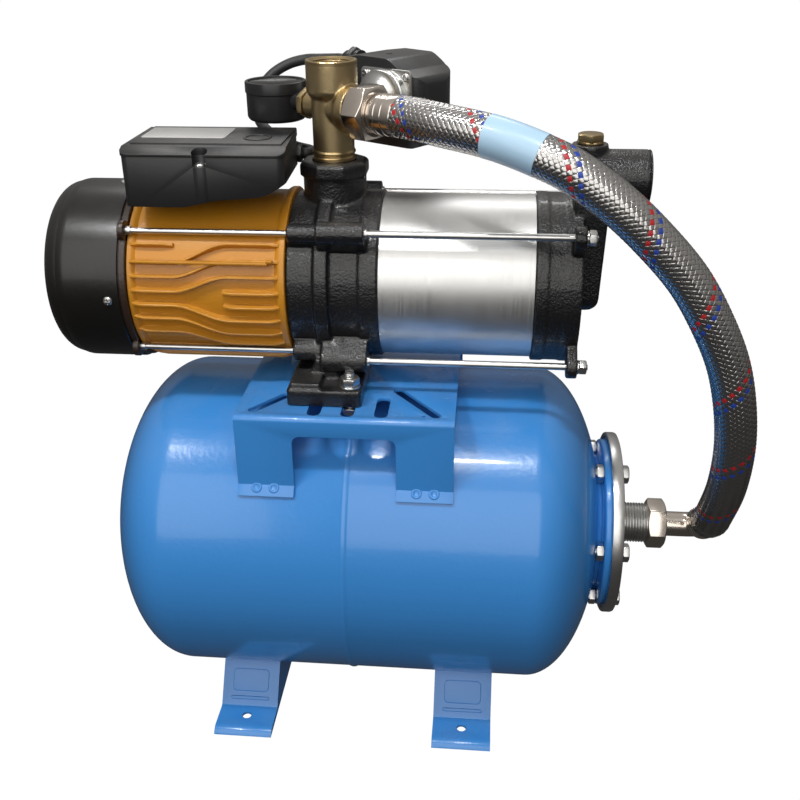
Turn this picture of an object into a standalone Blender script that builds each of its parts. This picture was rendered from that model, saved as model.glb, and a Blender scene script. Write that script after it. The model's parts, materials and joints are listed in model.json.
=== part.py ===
# Booster pump set: a horizontal membrane tank that carries a multistage pump and its pressure controls.
#
# The frame stands on the floor under the middle of the tank. X runs along the tank and the pump shaft, with
# the motor at -X and the suction port at +X. Y points away from the viewer and Z points up. Lengths are metres.

import math

import bmesh
import bpy
from mathutils import Matrix, Vector

GAP = 0.0003
ROUND = 24
MID_ROUND = 14
SMALL_ROUND = 8
X_AXIS = Vector((1, 0, 0))
Z_AXIS = Vector((0, 0, 1))

# Tank
TANK_R = 0.130
TANK_WALL = 0.0015
TANK_GROUND = 0.017
TANK_LEFT = -0.136
TANK_RIGHT = 0.140
DOME_LEFT_DEPTH = 0.066
DOME_RIGHT_DEPTH = 0.060
SHOULDER_R = 0.066
NECK_R = 0.0555
NECK_WALL = 0.006
WELD_WIDTH = 0.006
WELD_HEIGHT = 0.0011
FLANGE_X = 0.1985
FLANGE_THICK = 0.007
FLANGE_R = 0.0695
MOUTH_R = 0.044
COLLAR_SEAT_R = 0.052
COLLAR_SEAT_DEPTH = 0.0025
TANK_Z = TANK_R + TANK_GROUND
FLANGE_FACE = FLANGE_X + FLANGE_THICK

# Flange, nipple and bolts
COVER_R = FLANGE_R + 0.0062
COVER_THICK = 0.0065
COVER_RIM_DEPTH = 0.0026
COVER_RIM_WALL = 0.0032
BOLT_COUNT = 6
BOLT_CIRCLE = 0.0625
BOLT_FIRST_ANGLE = 10
BOLT_R = 0.0039
BOLT_FLATS = 0.013
BOLT_HEAD = 0.0053
NIPPLE_R = 0.01665
NIPPLE_BORE = 0.0125
NIPPLE_LENGTH = 0.0382
COVER_FACE = FLANGE_FACE + GAP + COVER_THICK

# Air valve
VALVE_R = 0.0042
VALVE_LENGTH = 0.0118
CAP_R = 0.0125
CAP_HEIGHT = 0.0058

# Membrane
MEMBRANE_WALL = 0.002
MEMBRANE_R = TANK_R - 0.018
MEMBRANE_LEFT = TANK_LEFT + 0.015
MEMBRANE_DEPTH = DOME_LEFT_DEPTH - 0.0155

# Feet
FOOT_X = 0.0905
FOOT_WIDTH = 0.048
FOOT_HALF_DEPTH = 0.123
FOOT_SHEET = 0.0025
TOE_HEIGHT = 0.005
TOE_FLAT = 0.112
TOE_ROOT = 0.094
LEG_TOP = 0.071
FOOT_HOLE_Y = 0.104
FOOT_HOLE_R = 0.0038

# Platform
PLATE_RISE = 0.0116
PLATE_TOP = TANK_Z + TANK_R + PLATE_RISE
PLATE_SHEET = 0.0025
PLATE_HALF_LENGTH = 0.080
BASE_HALF_DEPTH = 0.083
PLATE_HALF_DEPTH = BASE_HALF_DEPTH + 0.019
PLATE_BEND = 0.004
TAB_LENGTH = 0.0085
WINDOW_HALF = 0.038
WINDOW_TOP = PLATE_TOP - 0.0151
WINDOW_CORNER = 0.006
SLOT_WIDTH = 0.010
SLOT_PITCH = 0.0245
SLOT_MIDDLE = 0.002
SLOT_INNER = PLATE_HALF_DEPTH - 0.038
SLOT_OUTER = PLATE_HALF_DEPTH - 0.005
SLANT_LEFT = ((-0.067, PLATE_HALF_DEPTH - 0.0115), (-0.048, PLATE_HALF_DEPTH - 0.0365))
SLANT_RIGHT = ((0.036, PLATE_HALF_DEPTH - 0.050), (0.066, PLATE_HALF_DEPTH - 0.0115))

# Pump
BODY_R = 0.0615
BODY_CLEARANCE = 0.0139
PUMP_Z = PLATE_TOP + BODY_CLEARANCE + BODY_R
SHAFT_R = 0.0072
SLEEVE_R = BODY_R - 0.0006
SLEEVE_WALL = 0.0015
SLEEVE_LENGTH = 0.1115
BODY_LEFT = -0.0443
BODY_RIGHT = 0.0216
BODY_WALL = 0.010
BODY_BULKHEAD = -0.022
BODY_BULKHEAD_THICK = 0.010
BODY_RIB = (-0.0245, -0.0135)
BODY_RIB_R = BODY_R + 0.004
PORT_X = -0.0148
PORT_R = 0.0232
PORT_RISE = 0.0255
PORT_TOP = PUMP_Z + BODY_R + PORT_RISE
PORT_COLLAR_FLATS = 0.0485
PORT_COLLAR_HEIGHT = 0.012
BASE_LEFT = -0.0440
BASE_RIGHT = 0.011
BASE_THICK = 0.0124
FOOT_BOLT_X = 0.002
FOOT_BOLT_Y = BASE_HALF_DEPTH - 0.0095
FOOT_BOLT_R = 0.0038
FOOT_BOLT_FLATS = 0.013
RING_LENGTH = 0.0248
RING_R = BODY_R + 0.002
LUG_PLATE_THICK = 0.008
CHAMBER_HALF_WIDTH = 0.032
INLET_RISE = 0.0145
INLET_Z = PUMP_Z + BODY_R + INLET_RISE
INLET_R = 0.0202
INLET_BORE = 0.0150
INLET_FACE = 0.2128
PLUG_X = 0.1695
PLUG_BOSS_R = 0.0131
PLUG_BOSS_TOP = INLET_Z + 0.024
PLUG_THREAD_R = 0.0075
PLUG_FLATS = 0.020
PLUG_HEIGHT = 0.007
PUMP_ROD_R = 0.0026
PUMP_ROD_CIRCLE = BODY_R + 0.0145
PUMP_ROD_ANGLE = 39.4
PUMP_ROD_FLATS = 0.010
LUG_R = 0.0085
SLEEVE_LEFT = BODY_RIGHT + GAP
SLEEVE_RIGHT = SLEEVE_LEFT + SLEEVE_LENGTH
RING_LEFT = SLEEVE_RIGHT + GAP
LUG_LEFT = RING_LEFT + RING_LENGTH
LUG_RIGHT = LUG_LEFT + LUG_PLATE_THICK

# Stages
STAGE_COUNT = 3
STAGE_LEFT = 0.0275
STAGE_PITCH = 0.034
STAGE_WALL = 0.0022
IMPELLER_R = SLEEVE_R - 0.0109
IMPELLER_WIDTH = 0.012
IMPELLER_EYE = 0.021
IMPELLER_HUB = 0.012
VANE_COUNT = 6
VANE_THICK = 0.002

# Motor
FRAME_LEFT = -0.160
FRAME_R = BODY_R + 0.003
FRAME_WALL = 0.0062
RIB_HEIGHT = 0.0027
RIB_THICK = 0.0022
RIB_BEND = (-0.127, -0.085)
RIBS = ((22.6, 34.8, -0.1575, -0.0490), (13.4, 24.0, -0.1575, -0.0490), (4.2, 13.9, -0.1575, -0.0490),
        (-5.1, -15.7, -0.1575, -0.0490), (-14.7, -26.3, -0.1575, -0.0490), (-25.4, -36.8, -0.1575, -0.0490),
        (34.0, 34.0, -0.1575, -0.1260), (3.6, 3.6, -0.0900, -0.0490), (-5.9, -5.9, -0.0900, -0.0490))
FRAME_RIGHT = BODY_LEFT - GAP
MOTOR_ROD_R = 0.0023
MOTOR_ROD_CIRCLE = FRAME_R + 0.0028
MOTOR_ROD_ANGLE = 42
MOTOR_LUG_R = 0.0075
SHIELD_R = FRAME_R + 0.0025
SHIELD_THICK = 0.0047
SHIELD_SPIGOT = 0.007
COVER_LEFT = -0.2265
COVER_WALL = 0.0016
COVER_OUTER_R = FRAME_R + 0.004
COVER_CORNER = 0.016
GRILLE_SLOTS = 16
GRILLE_SLOT = 0.005
BEARING_R = 0.0175
BEARING_WIDTH = 0.0107
ROTOR_R = FRAME_R - 0.0315
AIR_GAP = 0.0005
CORE_LEFT = -0.138
CORE_RIGHT = -0.074
WINDING = 0.012
FAN_R = COVER_OUTER_R - 0.0115
FAN_LEFT = COVER_LEFT + 0.020
FAN_WIDTH = 0.027
FAN_BLADES = 7
SHAFT_LEFT = FAN_LEFT - 0.006
SHAFT_RIGHT = 0.1295
SHIELD_LEFT = FRAME_LEFT - GAP - SHIELD_THICK

# The pieces are laid out from the tank's weld seam; the frame's origin is the middle of the set
MIDDLE = Vector(((COVER_LEFT + COVER_FACE + NIPPLE_LENGTH) / 2, 0, 0))

# Terminal box, seated on the crown of the motor's frame
CROWN = PUMP_Z + FRAME_R
BOX_LEFT = -0.155
BOX_RIGHT = -0.040
BOX_FRONT = -0.060
BOX_BACK = 0.022
BOX_TAPER = 0.006
BOX_HEIGHT = 0.0355
BOX_TOP = CROWN + BOX_HEIGHT
BOX_WALL = 0.004
BOX_FLOOR = CROWN + 0.0125
LID_HEIGHT = 0.0065
LID_CHAMFER = 0.013
BOX_WAVE = ((-0.170, CROWN + 0.0005), (-0.111, CROWN + 0.0005), (-0.094, CROWN + 0.0052), (-0.055, CROWN + 0.0085),
            (-0.037, CROWN + 0.0195), (-0.030, CROWN + 0.0235))
CAPACITOR_R = (BOX_TOP - BOX_FLOOR) / 2 - 0.0002
CAPACITOR_LENGTH = 0.062

# Five-way fitting
ARM_ANGLE = 35
FITTING_R = 0.015
FITTING_THREAD = 0.016
OUTLET_R = 0.0184
OUTLET_BORE = 0.0142
OUTLET_HEIGHT = 0.022
ARM_RISE = 0.037
ARM_Z = PORT_TOP + ARM_RISE
FITTING_TOP = ARM_Z + 0.0326
ARM_R = 0.0172
ARM_LENGTH = 0.024
GAUGE_PORT_R = 0.0102
GAUGE_PORT_LENGTH = 0.022
SWITCH_PORT_R = 0.0110
SWITCH_PORT_LENGTH = 0.020

# Gauge
GAUGE_DISTANCE = 0.0582
GAUGE_R = 0.023
GAUGE_TOP = ARM_Z + 0.0135
GAUGE_BOTTOM = GAUGE_TOP - 0.0285
GAUGE_BEZEL = 0.0027
DIAL_DEPTH = 0.005
LENS_THICK = 0.0014
NEEDLE_LENGTH = 0.016
NEEDLE_REST = -45

# Pressure switch
THROAT_R = 0.009
DIAPHRAGM_R = 0.020
PLATE_AT = 0.059
SWITCH_PLATE_THICK = 0.0025
COVER_AT = 0.0618
COVER_DEPTH = 0.056
SWITCH_LEFT = -0.057
SWITCH_RIGHT = 0.026
SWITCH_BOTTOM = -0.038
SWITCH_TOP = 0.027
GLAND_R = 0.0085
CABLE_R = 0.0042
CABLE_STRAIGHT = 0.006

# Hose
HOSE_R = 0.0145
HOSE_STRAIGHT = 0.012
NUT_FLATS = 0.0355
NUT_LENGTH = 0.0177
FERRULE_R = 0.0145
FERRULE_END = 0.0643
STEM_R = 0.0107
LOWER_NUT_FLATS = 0.0368
LOWER_NUT_LENGTH = 0.0155
ELBOW_X = 0.2823
ELBOW_ANGLE = 38
ELBOW_R = 0.0105
ELBOW_REACH = 0.043
ELBOW_FERRULE_R = 0.0138

# Switch cable: gland on the terminal box, then the route up behind the gauge to the switch
BOX_GLAND = Vector((-0.0420, 0.0190, BOX_TOP - 0.0135))
BOX_GLAND_R = 0.0052
CABLE_ROUTE = ((-0.0393, 0.0190, 0.4505), (-0.0366, 0.0212, 0.4504), (-0.0358, 0.0258, 0.4502),
               (-0.0385, 0.0315, 0.4503), (-0.0465, 0.0350, 0.4512), (-0.0575, 0.0395, 0.4535),
               (-0.0690, 0.0475, 0.4575), (-0.0785, 0.0570, 0.4620), (-0.0855, 0.0690, 0.4675),
               (-0.0890, 0.0830, 0.4760), (-0.0870, 0.0960, 0.4865), (-0.0790, 0.1050, 0.4960),
               (-0.0660, 0.1100, 0.5030), (-0.0520, 0.1110, 0.5062), (-0.0410, 0.1090, 0.5068))
HOSE_ROUTE = ((0.0652, -0.0580, 0.4870), (0.1043, -0.0770, 0.4818), (0.1360, -0.0900, 0.4724),
              (0.1513, -0.0950, 0.4659), (0.1783, -0.1000, 0.4480), (0.2011, -0.1020, 0.4283),
              (0.2282, -0.1030, 0.3993), (0.2476, -0.1030, 0.3688), (0.2608, -0.1020, 0.3416),
              (0.2693, -0.1000, 0.3137), (0.2766, -0.0930, 0.2765), (0.2804, -0.0770, 0.2326))

ARM = Vector((math.cos(math.radians(ARM_ANGLE)), -math.sin(math.radians(ARM_ANGLE)), 0))
REAR = Vector((math.sin(math.radians(ARM_ANGLE)), math.cos(math.radians(ARM_ANGLE)), 0))
FITTING = Vector((PORT_X, 0, 0))
ELBOW_OUT = Vector((0, -math.cos(math.radians(ELBOW_ANGLE)), math.sin(math.radians(ELBOW_ANGLE))))


def clear_scene():
    """Remove every object, so the script gives the same model each time."""
    for item in list(bpy.data.objects):
        bpy.data.objects.remove(item, do_unlink=True)


def material(name, colour, roughness, metallic=0.0):
    """Return a Principled material."""
    made = bpy.data.materials.new(name)
    made.use_nodes = True
    shader = made.node_tree.nodes["Principled BSDF"]
    shader.inputs["Base Color"].default_value = (*colour, 1)
    shader.inputs["Roughness"].default_value = roughness
    shader.inputs["Metallic"].default_value = metallic
    made.diffuse_color = (*colour, 1)
    return made


def pump_point(x, radius=0.0, degrees=0.0):
    """Return a point beside the pump's axis; the angle runs from -Y upwards."""
    angle = math.radians(degrees)
    return Vector((x, -radius * math.cos(angle), PUMP_Z + radius * math.sin(angle)))


def tank_point(x, radius=0.0, degrees=0.0):
    """Return a point beside the tank's axis; the angle runs from -Y upwards."""
    angle = math.radians(degrees)
    return Vector((x, -radius * math.cos(angle), TANK_Z + radius * math.sin(angle)))


def fitting_point(along_arm, along_rear, z):
    """Return a point by its distances from the fitting's axis along the arm and towards the switch."""
    return FITTING + ARM * along_arm + REAR * along_rear + Z_AXIS * z


def basis(axis):
    """Return a turn that takes local Z to the axis and local X upwards (or to +X for a vertical axis)."""
    third = Vector(axis).normalized()
    guide = X_AXIS if abs(third.z) > 0.9 else Z_AXIS
    first = (guide - third * guide.dot(third)).normalized()
    second = third.cross(first)
    return Matrix((first, second, third)).transposed()


def lathe(profile, start, axis, segments=ROUND, closed=False, phase=0.0):
    """Turn (distance, radius) points about an axis that leaves the start point."""
    mesh = bmesh.new()
    turn = basis(axis)
    rings = []
    for along, radius in profile:
        count = 1 if radius < 1e-7 else segments
        ring = []
        for step in range(count):
            angle = 2 * math.pi * (step + phase) / segments
            local = Vector((radius * math.cos(angle), radius * math.sin(angle), along))
            ring.append(mesh.verts.new(Vector(start) + turn @ local))
        rings.append(ring)
    pairs = list(zip(rings, rings[1:]))
    if closed:
        pairs.append((rings[-1], rings[0]))
    for low, high in pairs:
        for step in range(segments):
            after = (step + 1) % segments
            corners = (low[step % len(low)], low[after % len(low)], high[after % len(high)],
                       high[step % len(high)])
            corners = list(dict.fromkeys(corners))
            if len(corners) > 2:
                mesh.faces.new(corners)
    if not closed:
        for ring in (rings[0], rings[-1]):
            if len(ring) > 1:
                mesh.faces.new(ring)
    bmesh.ops.recalc_face_normals(mesh, faces=mesh.faces)
    return mesh


def cylinder(start, axis, length, radius, segments=SMALL_ROUND):
    """Return a plain cylinder."""
    return lathe(((0, radius), (length, radius)), start, axis, segments)


def hexagon(start, axis, length, flats, phase=0.0):
    """Return a hexagonal prism from its width across flats."""
    corner = flats / math.sqrt(3)
    return lathe(((0, corner), (length, corner)), start, axis, 6, phase=phase)


def prism(outline, plane, near, far):
    """Extrude an outline given in the XY, XZ or YZ plane along the third axis."""
    first, second, third = {"XY": (0, 1, 2), "XZ": (0, 2, 1), "YZ": (1, 2, 0)}[plane]
    mesh = bmesh.new()
    layers = []
    for depth in (near, far):
        layer = []
        for across, up in outline:
            point = [0.0, 0.0, 0.0]
            point[first] = across
            point[second] = up
            point[third] = depth
            layer.append(mesh.verts.new(point))
        layers.append(layer)
        mesh.faces.new(layer)
    for step in range(len(outline)):
        after = (step + 1) % len(outline)
        mesh.faces.new((layers[0][step], layers[0][after], layers[1][after], layers[1][step]))
    bmesh.ops.recalc_face_normals(mesh, faces=mesh.faces)
    return mesh


def box(x0, x1, y0, y1, z0, z1):
    """Return a box between two corners."""
    return prism(((x0, y0), (x1, y0), (x1, y1), (x0, y1)), "XY", z0, z1)


def rounded(points, radius, steps=4):
    """Round the corners of a closed outline with arcs; the radius may be one value or one for each corner."""
    radii = radius if isinstance(radius, (list, tuple)) else [radius] * len(points)
    outline = []
    for index, corner in enumerate(points):
        corner = Vector(corner)
        before = (Vector(points[index - 1]) - corner).normalized()
        after = (Vector(points[(index + 1) % len(points)]) - corner).normalized()
        if radii[index] <= 0:
            outline.append(tuple(corner))
            continue
        half = before.angle(after) / 2
        reach = radii[index] / math.tan(half)
        centre = corner + (before + after).normalized() * radii[index] / math.sin(half)
        first = corner + before * reach - centre
        last = corner + after * reach - centre
        sweep = first.angle(last)
        for step in range(steps + 1):
            share = step / steps
            ray = (first * math.sin((1 - share) * sweep) + last * math.sin(share * sweep)) / math.sin(sweep)
            outline.append(tuple(centre + ray))
    return outline


def slot(start, end, width, steps=4):
    """Return the outline of a slot with round ends between two points."""
    start = Vector(start)
    end = Vector(end)
    along = (end - start).normalized()
    base = math.atan2(along.y, along.x)
    outline = []
    for centre, first in ((end, base - math.pi / 2), (start, base + math.pi / 2)):
        for step in range(steps + 1):
            angle = first + math.pi * step / steps
            outline.append((centre.x + width / 2 * math.cos(angle), centre.y + width / 2 * math.sin(angle)))
    return outline


def sheet_outline(path, thickness):
    """Return the outline of a sheet that lies to the left of an open path."""
    path = [Vector(point) for point in path]
    left = []
    for index, point in enumerate(path):
        before = (point - path[max(index - 1, 0)])
        after = (path[min(index + 1, len(path) - 1)] - point)
        before = before.normalized() if before.length > 0 else after.normalized()
        after = after.normalized() if after.length > 0 else before
        normal = Vector((-(before + after).y, (before + after).x)).normalized()
        share = max(normal.dot(Vector((-before.y, before.x))), 0.5)
        left.append(point + normal * thickness / share)
    return [tuple(point) for point in path] + [tuple(point) for point in reversed(left)]


def arc(centre, radius, first, last, steps):
    """Return points on an arc in a plane; angles in degrees."""
    points = []
    for step in range(steps + 1):
        angle = math.radians(first + (last - first) * step / steps)
        points.append((centre[0] + radius * math.cos(angle), centre[1] + radius * math.sin(angle)))
    return points


def pipe(path, radii, sides=SMALL_ROUND):
    """Sweep a circle of changing radius along a path of points."""
    mesh = bmesh.new()
    path = [Vector(point) for point in path]
    tangents = []
    for index in range(len(path)):
        step = path[min(index + 1, len(path) - 1)] - path[max(index - 1, 0)]
        tangents.append(step.normalized())
    turn = basis(tangents[0])
    rings = []
    for index, point in enumerate(path):
        if index:
            turn = tangents[index - 1].rotation_difference(tangents[index]).to_matrix() @ turn
        ring = []
        for step in range(sides):
            angle = 2 * math.pi * step / sides
            local = Vector((math.cos(angle), math.sin(angle), 0)) * radii[index]
            ring.append(mesh.verts.new(point + turn @ local))
        rings.append(ring)
    for low, high in zip(rings, rings[1:]):
        for step in range(sides):
            after = (step + 1) % sides
            mesh.faces.new((low[step], low[after], high[after], high[step]))
    mesh.faces.new(rings[0])
    mesh.faces.new(rings[-1])
    bmesh.ops.recalc_face_normals(mesh, faces=mesh.faces)
    return mesh


def together(meshes):
    """Put shapes that don't touch into one mesh, to cut or join them in one step."""
    joined = bmesh.new()
    for part in meshes:
        held = bpy.data.meshes.new("held")
        part.to_mesh(held)
        joined.from_mesh(held)
        bpy.data.meshes.remove(held)
        part.free()
    return joined


def scratch_object(mesh):
    """Make a short-lived object from a mesh."""
    data = bpy.data.meshes.new("scratch")
    mesh.to_mesh(data)
    mesh.free()
    made = bpy.data.objects.new("scratch", data)
    bpy.context.scene.collection.objects.link(made)
    return made


def boolean(body, tools, operation):
    """Join tools to a body, or cut them from it, one after the other."""
    base = scratch_object(body)
    for tool in tools:
        other = scratch_object(tool)
        step = base.modifiers.new("step", "BOOLEAN")
        step.operation = operation
        step.solver = "EXACT"
        step.object = other
        result = bmesh.new()
        result.from_object(base, bpy.context.evaluated_depsgraph_get())
        base.modifiers.remove(step)
        bpy.data.objects.remove(other, do_unlink=True)
        bmesh.ops.remove_doubles(result, verts=result.verts, dist=1e-6)
        bmesh.ops.dissolve_degenerate(result, edges=result.edges, dist=1e-6)
        result.to_mesh(base.data)
        result.free()
    final = bmesh.new()
    final.from_mesh(base.data)
    bpy.data.objects.remove(base, do_unlink=True)
    return final


def join(body, *tools):
    """Union shapes into one body."""
    return boolean(body, tools, "UNION")


def cut(body, *tools):
    """Cut shapes from a body."""
    return boolean(body, tools, "DIFFERENCE")


def node(name, mesh, finish, pivot=None, sharp=35):
    """Turn a mesh into a named object; the pivot, on a joint's axis, becomes its origin."""
    data = bpy.data.meshes.new(name)
    origin = MIDDLE if pivot is None else Vector(pivot)
    bmesh.ops.translate(mesh, verts=mesh.verts, vec=-origin)
    mesh.to_mesh(data)
    mesh.free()
    made = bpy.data.objects.new(name, data)
    made.location = origin - MIDDLE
    bpy.context.scene.collection.objects.link(made)
    data.materials.append(finish)
    data.shade_smooth()
    data.set_sharp_from_angle(angle=math.radians(sharp))
    return made


def smooth_route(route, spacing):
    """Return evenly spaced points on a smooth curve through a route."""
    points = [Vector(point) for point in route]
    points = [2 * points[0] - points[1]] + points + [2 * points[-1] - points[-2]]
    dense = []
    for index in range(1, len(points) - 2):
        before, first, last, after = points[index - 1:index + 3]
        knots = [0.0]
        for near, far in ((before, first), (first, last), (last, after)):
            knots.append(knots[-1] + math.sqrt((far - near).length))
        for step in range(24):
            t = knots[1] + (knots[2] - knots[1]) * step / 24
            a1 = before * (knots[1] - t) / knots[1] + first * t / knots[1]
            a2 = first * (knots[2] - t) / (knots[2] - knots[1]) + last * (t - knots[1]) / (knots[2] - knots[1])
            a3 = last * (knots[3] - t) / (knots[3] - knots[2]) + after * (t - knots[2]) / (knots[3] - knots[2])
            b1 = a1 * (knots[2] - t) / knots[2] + a2 * t / knots[2]
            b2 = a2 * (knots[3] - t) / (knots[3] - knots[1]) + a3 * (t - knots[1]) / (knots[3] - knots[1])
            dense.append(b1 * (knots[2] - t) / (knots[2] - knots[1]) + b2 * (t - knots[1]) / (knots[2] - knots[1]))
    dense.append(points[-2])
    total = sum((far - near).length for near, far in zip(dense, dense[1:]))
    count = max(2, round(total / spacing))
    even = [dense[0]]
    walked = 0.0
    for near, far in zip(dense, dense[1:]):
        length = (far - near).length
        while len(even) < count and walked + length >= total * len(even) / count:
            even.append(near.lerp(far, (total * len(even) / count - walked) / length))
        walked += length
    even.append(dense[-1])
    return even


def cord(name, start, route, end, radius, spacing, finish, resolution=3):
    """Lay a round cord along a smooth route between two exits, which it leaves straight."""
    data = bpy.data.curves.new(name, "CURVE")
    data.dimensions = "3D"
    data.bevel_depth = radius
    data.bevel_resolution = resolution
    data.use_fill_caps = True
    data.render_resolution_u = 0
    points = [start] + smooth_route(route, spacing) + [end]
    line = data.splines.new("POLY")
    line.points.add(len(points) - 1)
    for place, point in zip(line.points, points):
        place.co = (*(point - MIDDLE), 1)
    made = bpy.data.objects.new(name, data)
    bpy.context.scene.collection.objects.link(made)
    data.materials.append(finish)
    return made


def dome_points(base_x, depth, radius, first_radius, last_radius, steps=8):
    """Return points on an elliptical dome between two radii."""
    first = math.acos(first_radius / radius)
    last = math.acos(last_radius / radius)
    points = []
    for step in range(steps + 1):
        angle = first + (last - first) * step / steps
        points.append((base_x + depth * math.sin(angle), radius * math.cos(angle)))
    return points


def bolt_angles():
    """Return the angles of the flange bolts."""
    return [BOLT_FIRST_ANGLE + 360 / BOLT_COUNT * index for index in range(BOLT_COUNT)]


def bolt_holes(x, length, radius):
    """Return a cutter for the ring of bolt holes."""
    return together([cylinder(tank_point(x, BOLT_CIRCLE, angle), X_AXIS, length, radius, SMALL_ROUND)
                     for angle in bolt_angles()])


def make_tank(paint):
    """Welded shell with a flanged neck at the right and a valve hole at the left pole."""
    inner = TANK_R - TANK_WALL
    hole = VALVE_R + GAP
    bead = WELD_WIDTH / 2
    profile = dome_points(TANK_LEFT, -DOME_LEFT_DEPTH, TANK_R, hole, TANK_R, 7)
    profile += [(-bead, TANK_R), (0, TANK_R + WELD_HEIGHT), (bead, TANK_R)]
    profile += dome_points(TANK_RIGHT, DOME_RIGHT_DEPTH, TANK_R, TANK_R, SHOULDER_R, 5)
    shoulder = profile[-1][0] + 0.0004
    profile += [(shoulder, NECK_R), (FLANGE_X, NECK_R), (FLANGE_X, FLANGE_R), (FLANGE_FACE, FLANGE_R)]
    profile += [(FLANGE_FACE, COLLAR_SEAT_R), (FLANGE_FACE - COLLAR_SEAT_DEPTH, COLLAR_SEAT_R)]
    profile += [(FLANGE_FACE - COLLAR_SEAT_DEPTH, MOUTH_R), (FLANGE_X - 0.001, MOUTH_R)]
    profile += [(FLANGE_X - 0.001, NECK_R - NECK_WALL), (shoulder - 0.002, NECK_R - NECK_WALL)]
    profile += dome_points(TANK_RIGHT, DOME_RIGHT_DEPTH - TANK_WALL, inner, SHOULDER_R, inner, 3)
    profile += dome_points(TANK_LEFT, TANK_WALL - DOME_LEFT_DEPTH, inner, inner, hole, 4)
    shell = lathe(profile, (0, 0, TANK_Z), X_AXIS, ROUND, closed=True)
    shell = cut(shell, bolt_holes(FLANGE_X - 0.001, FLANGE_THICK + 0.002, BOLT_R + GAP))
    node("tank_shell", shell, paint)


def make_membrane(rubber):
    """Bag inside the tank; its collar is clamped between the two flanges."""
    neck = MOUTH_R - 2 * GAP
    seat = FLANGE_FACE - COLLAR_SEAT_DEPTH + GAP
    collar = COLLAR_SEAT_R - 2 * GAP
    outer = [(seat, collar), (seat, neck), (FLANGE_X - 0.006, neck)]
    outer += [(TANK_RIGHT + 0.030, 0.72 * MEMBRANE_R), (TANK_RIGHT - 0.010, 0.95 * MEMBRANE_R)]
    outer += dome_points(MEMBRANE_LEFT, -MEMBRANE_DEPTH, MEMBRANE_R, MEMBRANE_R, 0.001, 4)
    outer[-1] = (outer[-1][0], 0)
    inner = dome_points(MEMBRANE_LEFT, MEMBRANE_WALL - MEMBRANE_DEPTH, MEMBRANE_R - MEMBRANE_WALL,
                        0.001, MEMBRANE_R - MEMBRANE_WALL, 4)
    inner[0] = (inner[0][0], 0)
    inner += [(TANK_RIGHT - 0.011, 0.95 * MEMBRANE_R - MEMBRANE_WALL)]
    inner += [(TANK_RIGHT + 0.0285, 0.72 * MEMBRANE_R - MEMBRANE_WALL)]
    inner += [(FLANGE_X - 0.007, neck - MEMBRANE_WALL), (FLANGE_FACE, neck - MEMBRANE_WALL), (FLANGE_FACE, collar)]
    node("tank_membrane", lathe(outer + inner, (0, 0, TANK_Z), X_AXIS, MID_ROUND, closed=True), rubber)


def make_air_valve(brass, plastic):
    """Valve in the left pole, under a round cap."""
    pole = TANK_LEFT - DOME_LEFT_DEPTH
    start = (pole + TANK_WALL + 0.0045, 0, TANK_Z)
    inside = VALVE_R + 0.003
    profile = ((0, inside), (0.004 - GAP, inside), (0.004 - GAP, VALVE_R), (VALVE_LENGTH - 0.001, VALVE_R))
    profile += ((VALVE_LENGTH, VALVE_R - 0.001),)
    node("air_valve", lathe(profile, start, -X_AXIS, SMALL_ROUND), brass)
    seat = 0.0022
    reach = VALVE_LENGTH - TANK_WALL - 0.004 + GAP
    edge = 0.0012
    profile = ((seat, CAP_R), (seat + CAP_HEIGHT - edge, CAP_R), (seat + CAP_HEIGHT, CAP_R - edge))
    profile += ((seat + CAP_HEIGHT, 0), (reach, 0), (reach, VALVE_R + GAP), (0.0008, VALVE_R + GAP))
    profile += ((0.0008, VALVE_R + 0.004), (seat, CAP_R - 0.004))
    base = (pole, 0, TANK_Z)
    node("valve_cap", lathe(profile, base, -X_AXIS, MID_ROUND, closed=True), plastic)


def make_counter_flange(steel):
    """Pressed disc whose rim turns back round the tank's own flange."""
    face = COVER_FACE
    back = face - COVER_THICK
    rim = back - COVER_RIM_DEPTH
    inner = COVER_R - COVER_RIM_WALL
    profile = [(back, NIPPLE_R + GAP), (back, inner), (rim, inner), (rim, COVER_R - 0.001), (rim + 0.001, COVER_R)]
    profile += [(face - 0.0013, COVER_R), (face, COVER_R - 0.0013), (face, NIPPLE_R + GAP)]
    disc = lathe(profile, (0, 0, TANK_Z), X_AXIS, ROUND, closed=True)
    disc = cut(disc, bolt_holes(back - 0.001, COVER_THICK + 0.002, BOLT_R + GAP))
    node("counter_flange", disc, steel)
    start = (back, 0, TANK_Z)
    length = COVER_THICK + NIPPLE_LENGTH
    edge = 0.001
    profile = ((0, NIPPLE_BORE), (0, NIPPLE_R), (length - edge, NIPPLE_R), (length, NIPPLE_R - edge))
    profile += ((length, NIPPLE_BORE),)
    node("flange_nipple", lathe(profile, start, X_AXIS, MID_ROUND, closed=True), steel)


def make_flange_bolts(steel):
    """Six bolts with their heads at the right and a nut behind the tank's flange."""
    nut = 0.0060
    for index, angle in enumerate(bolt_angles()):
        centre = tank_point(0, BOLT_CIRCLE, angle)
        shift = Vector((1, 0, 0))
        head = hexagon(centre + shift * (COVER_FACE + GAP), X_AXIS, BOLT_HEAD, BOLT_FLATS,
                       phase=-angle / 60)
        shank = cylinder(centre + shift * (FLANGE_X - GAP - nut + 0.001), X_AXIS,
                         COVER_FACE - FLANGE_X + nut + 2 * GAP + 0.001, BOLT_R)
        back = hexagon(centre + shift * (FLANGE_X - GAP - nut), X_AXIS, nut, BOLT_FLATS,
                       phase=-angle / 60)
        node("flange_bolt_%d" % (index + 1), join(shank, head, back), steel)


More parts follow.
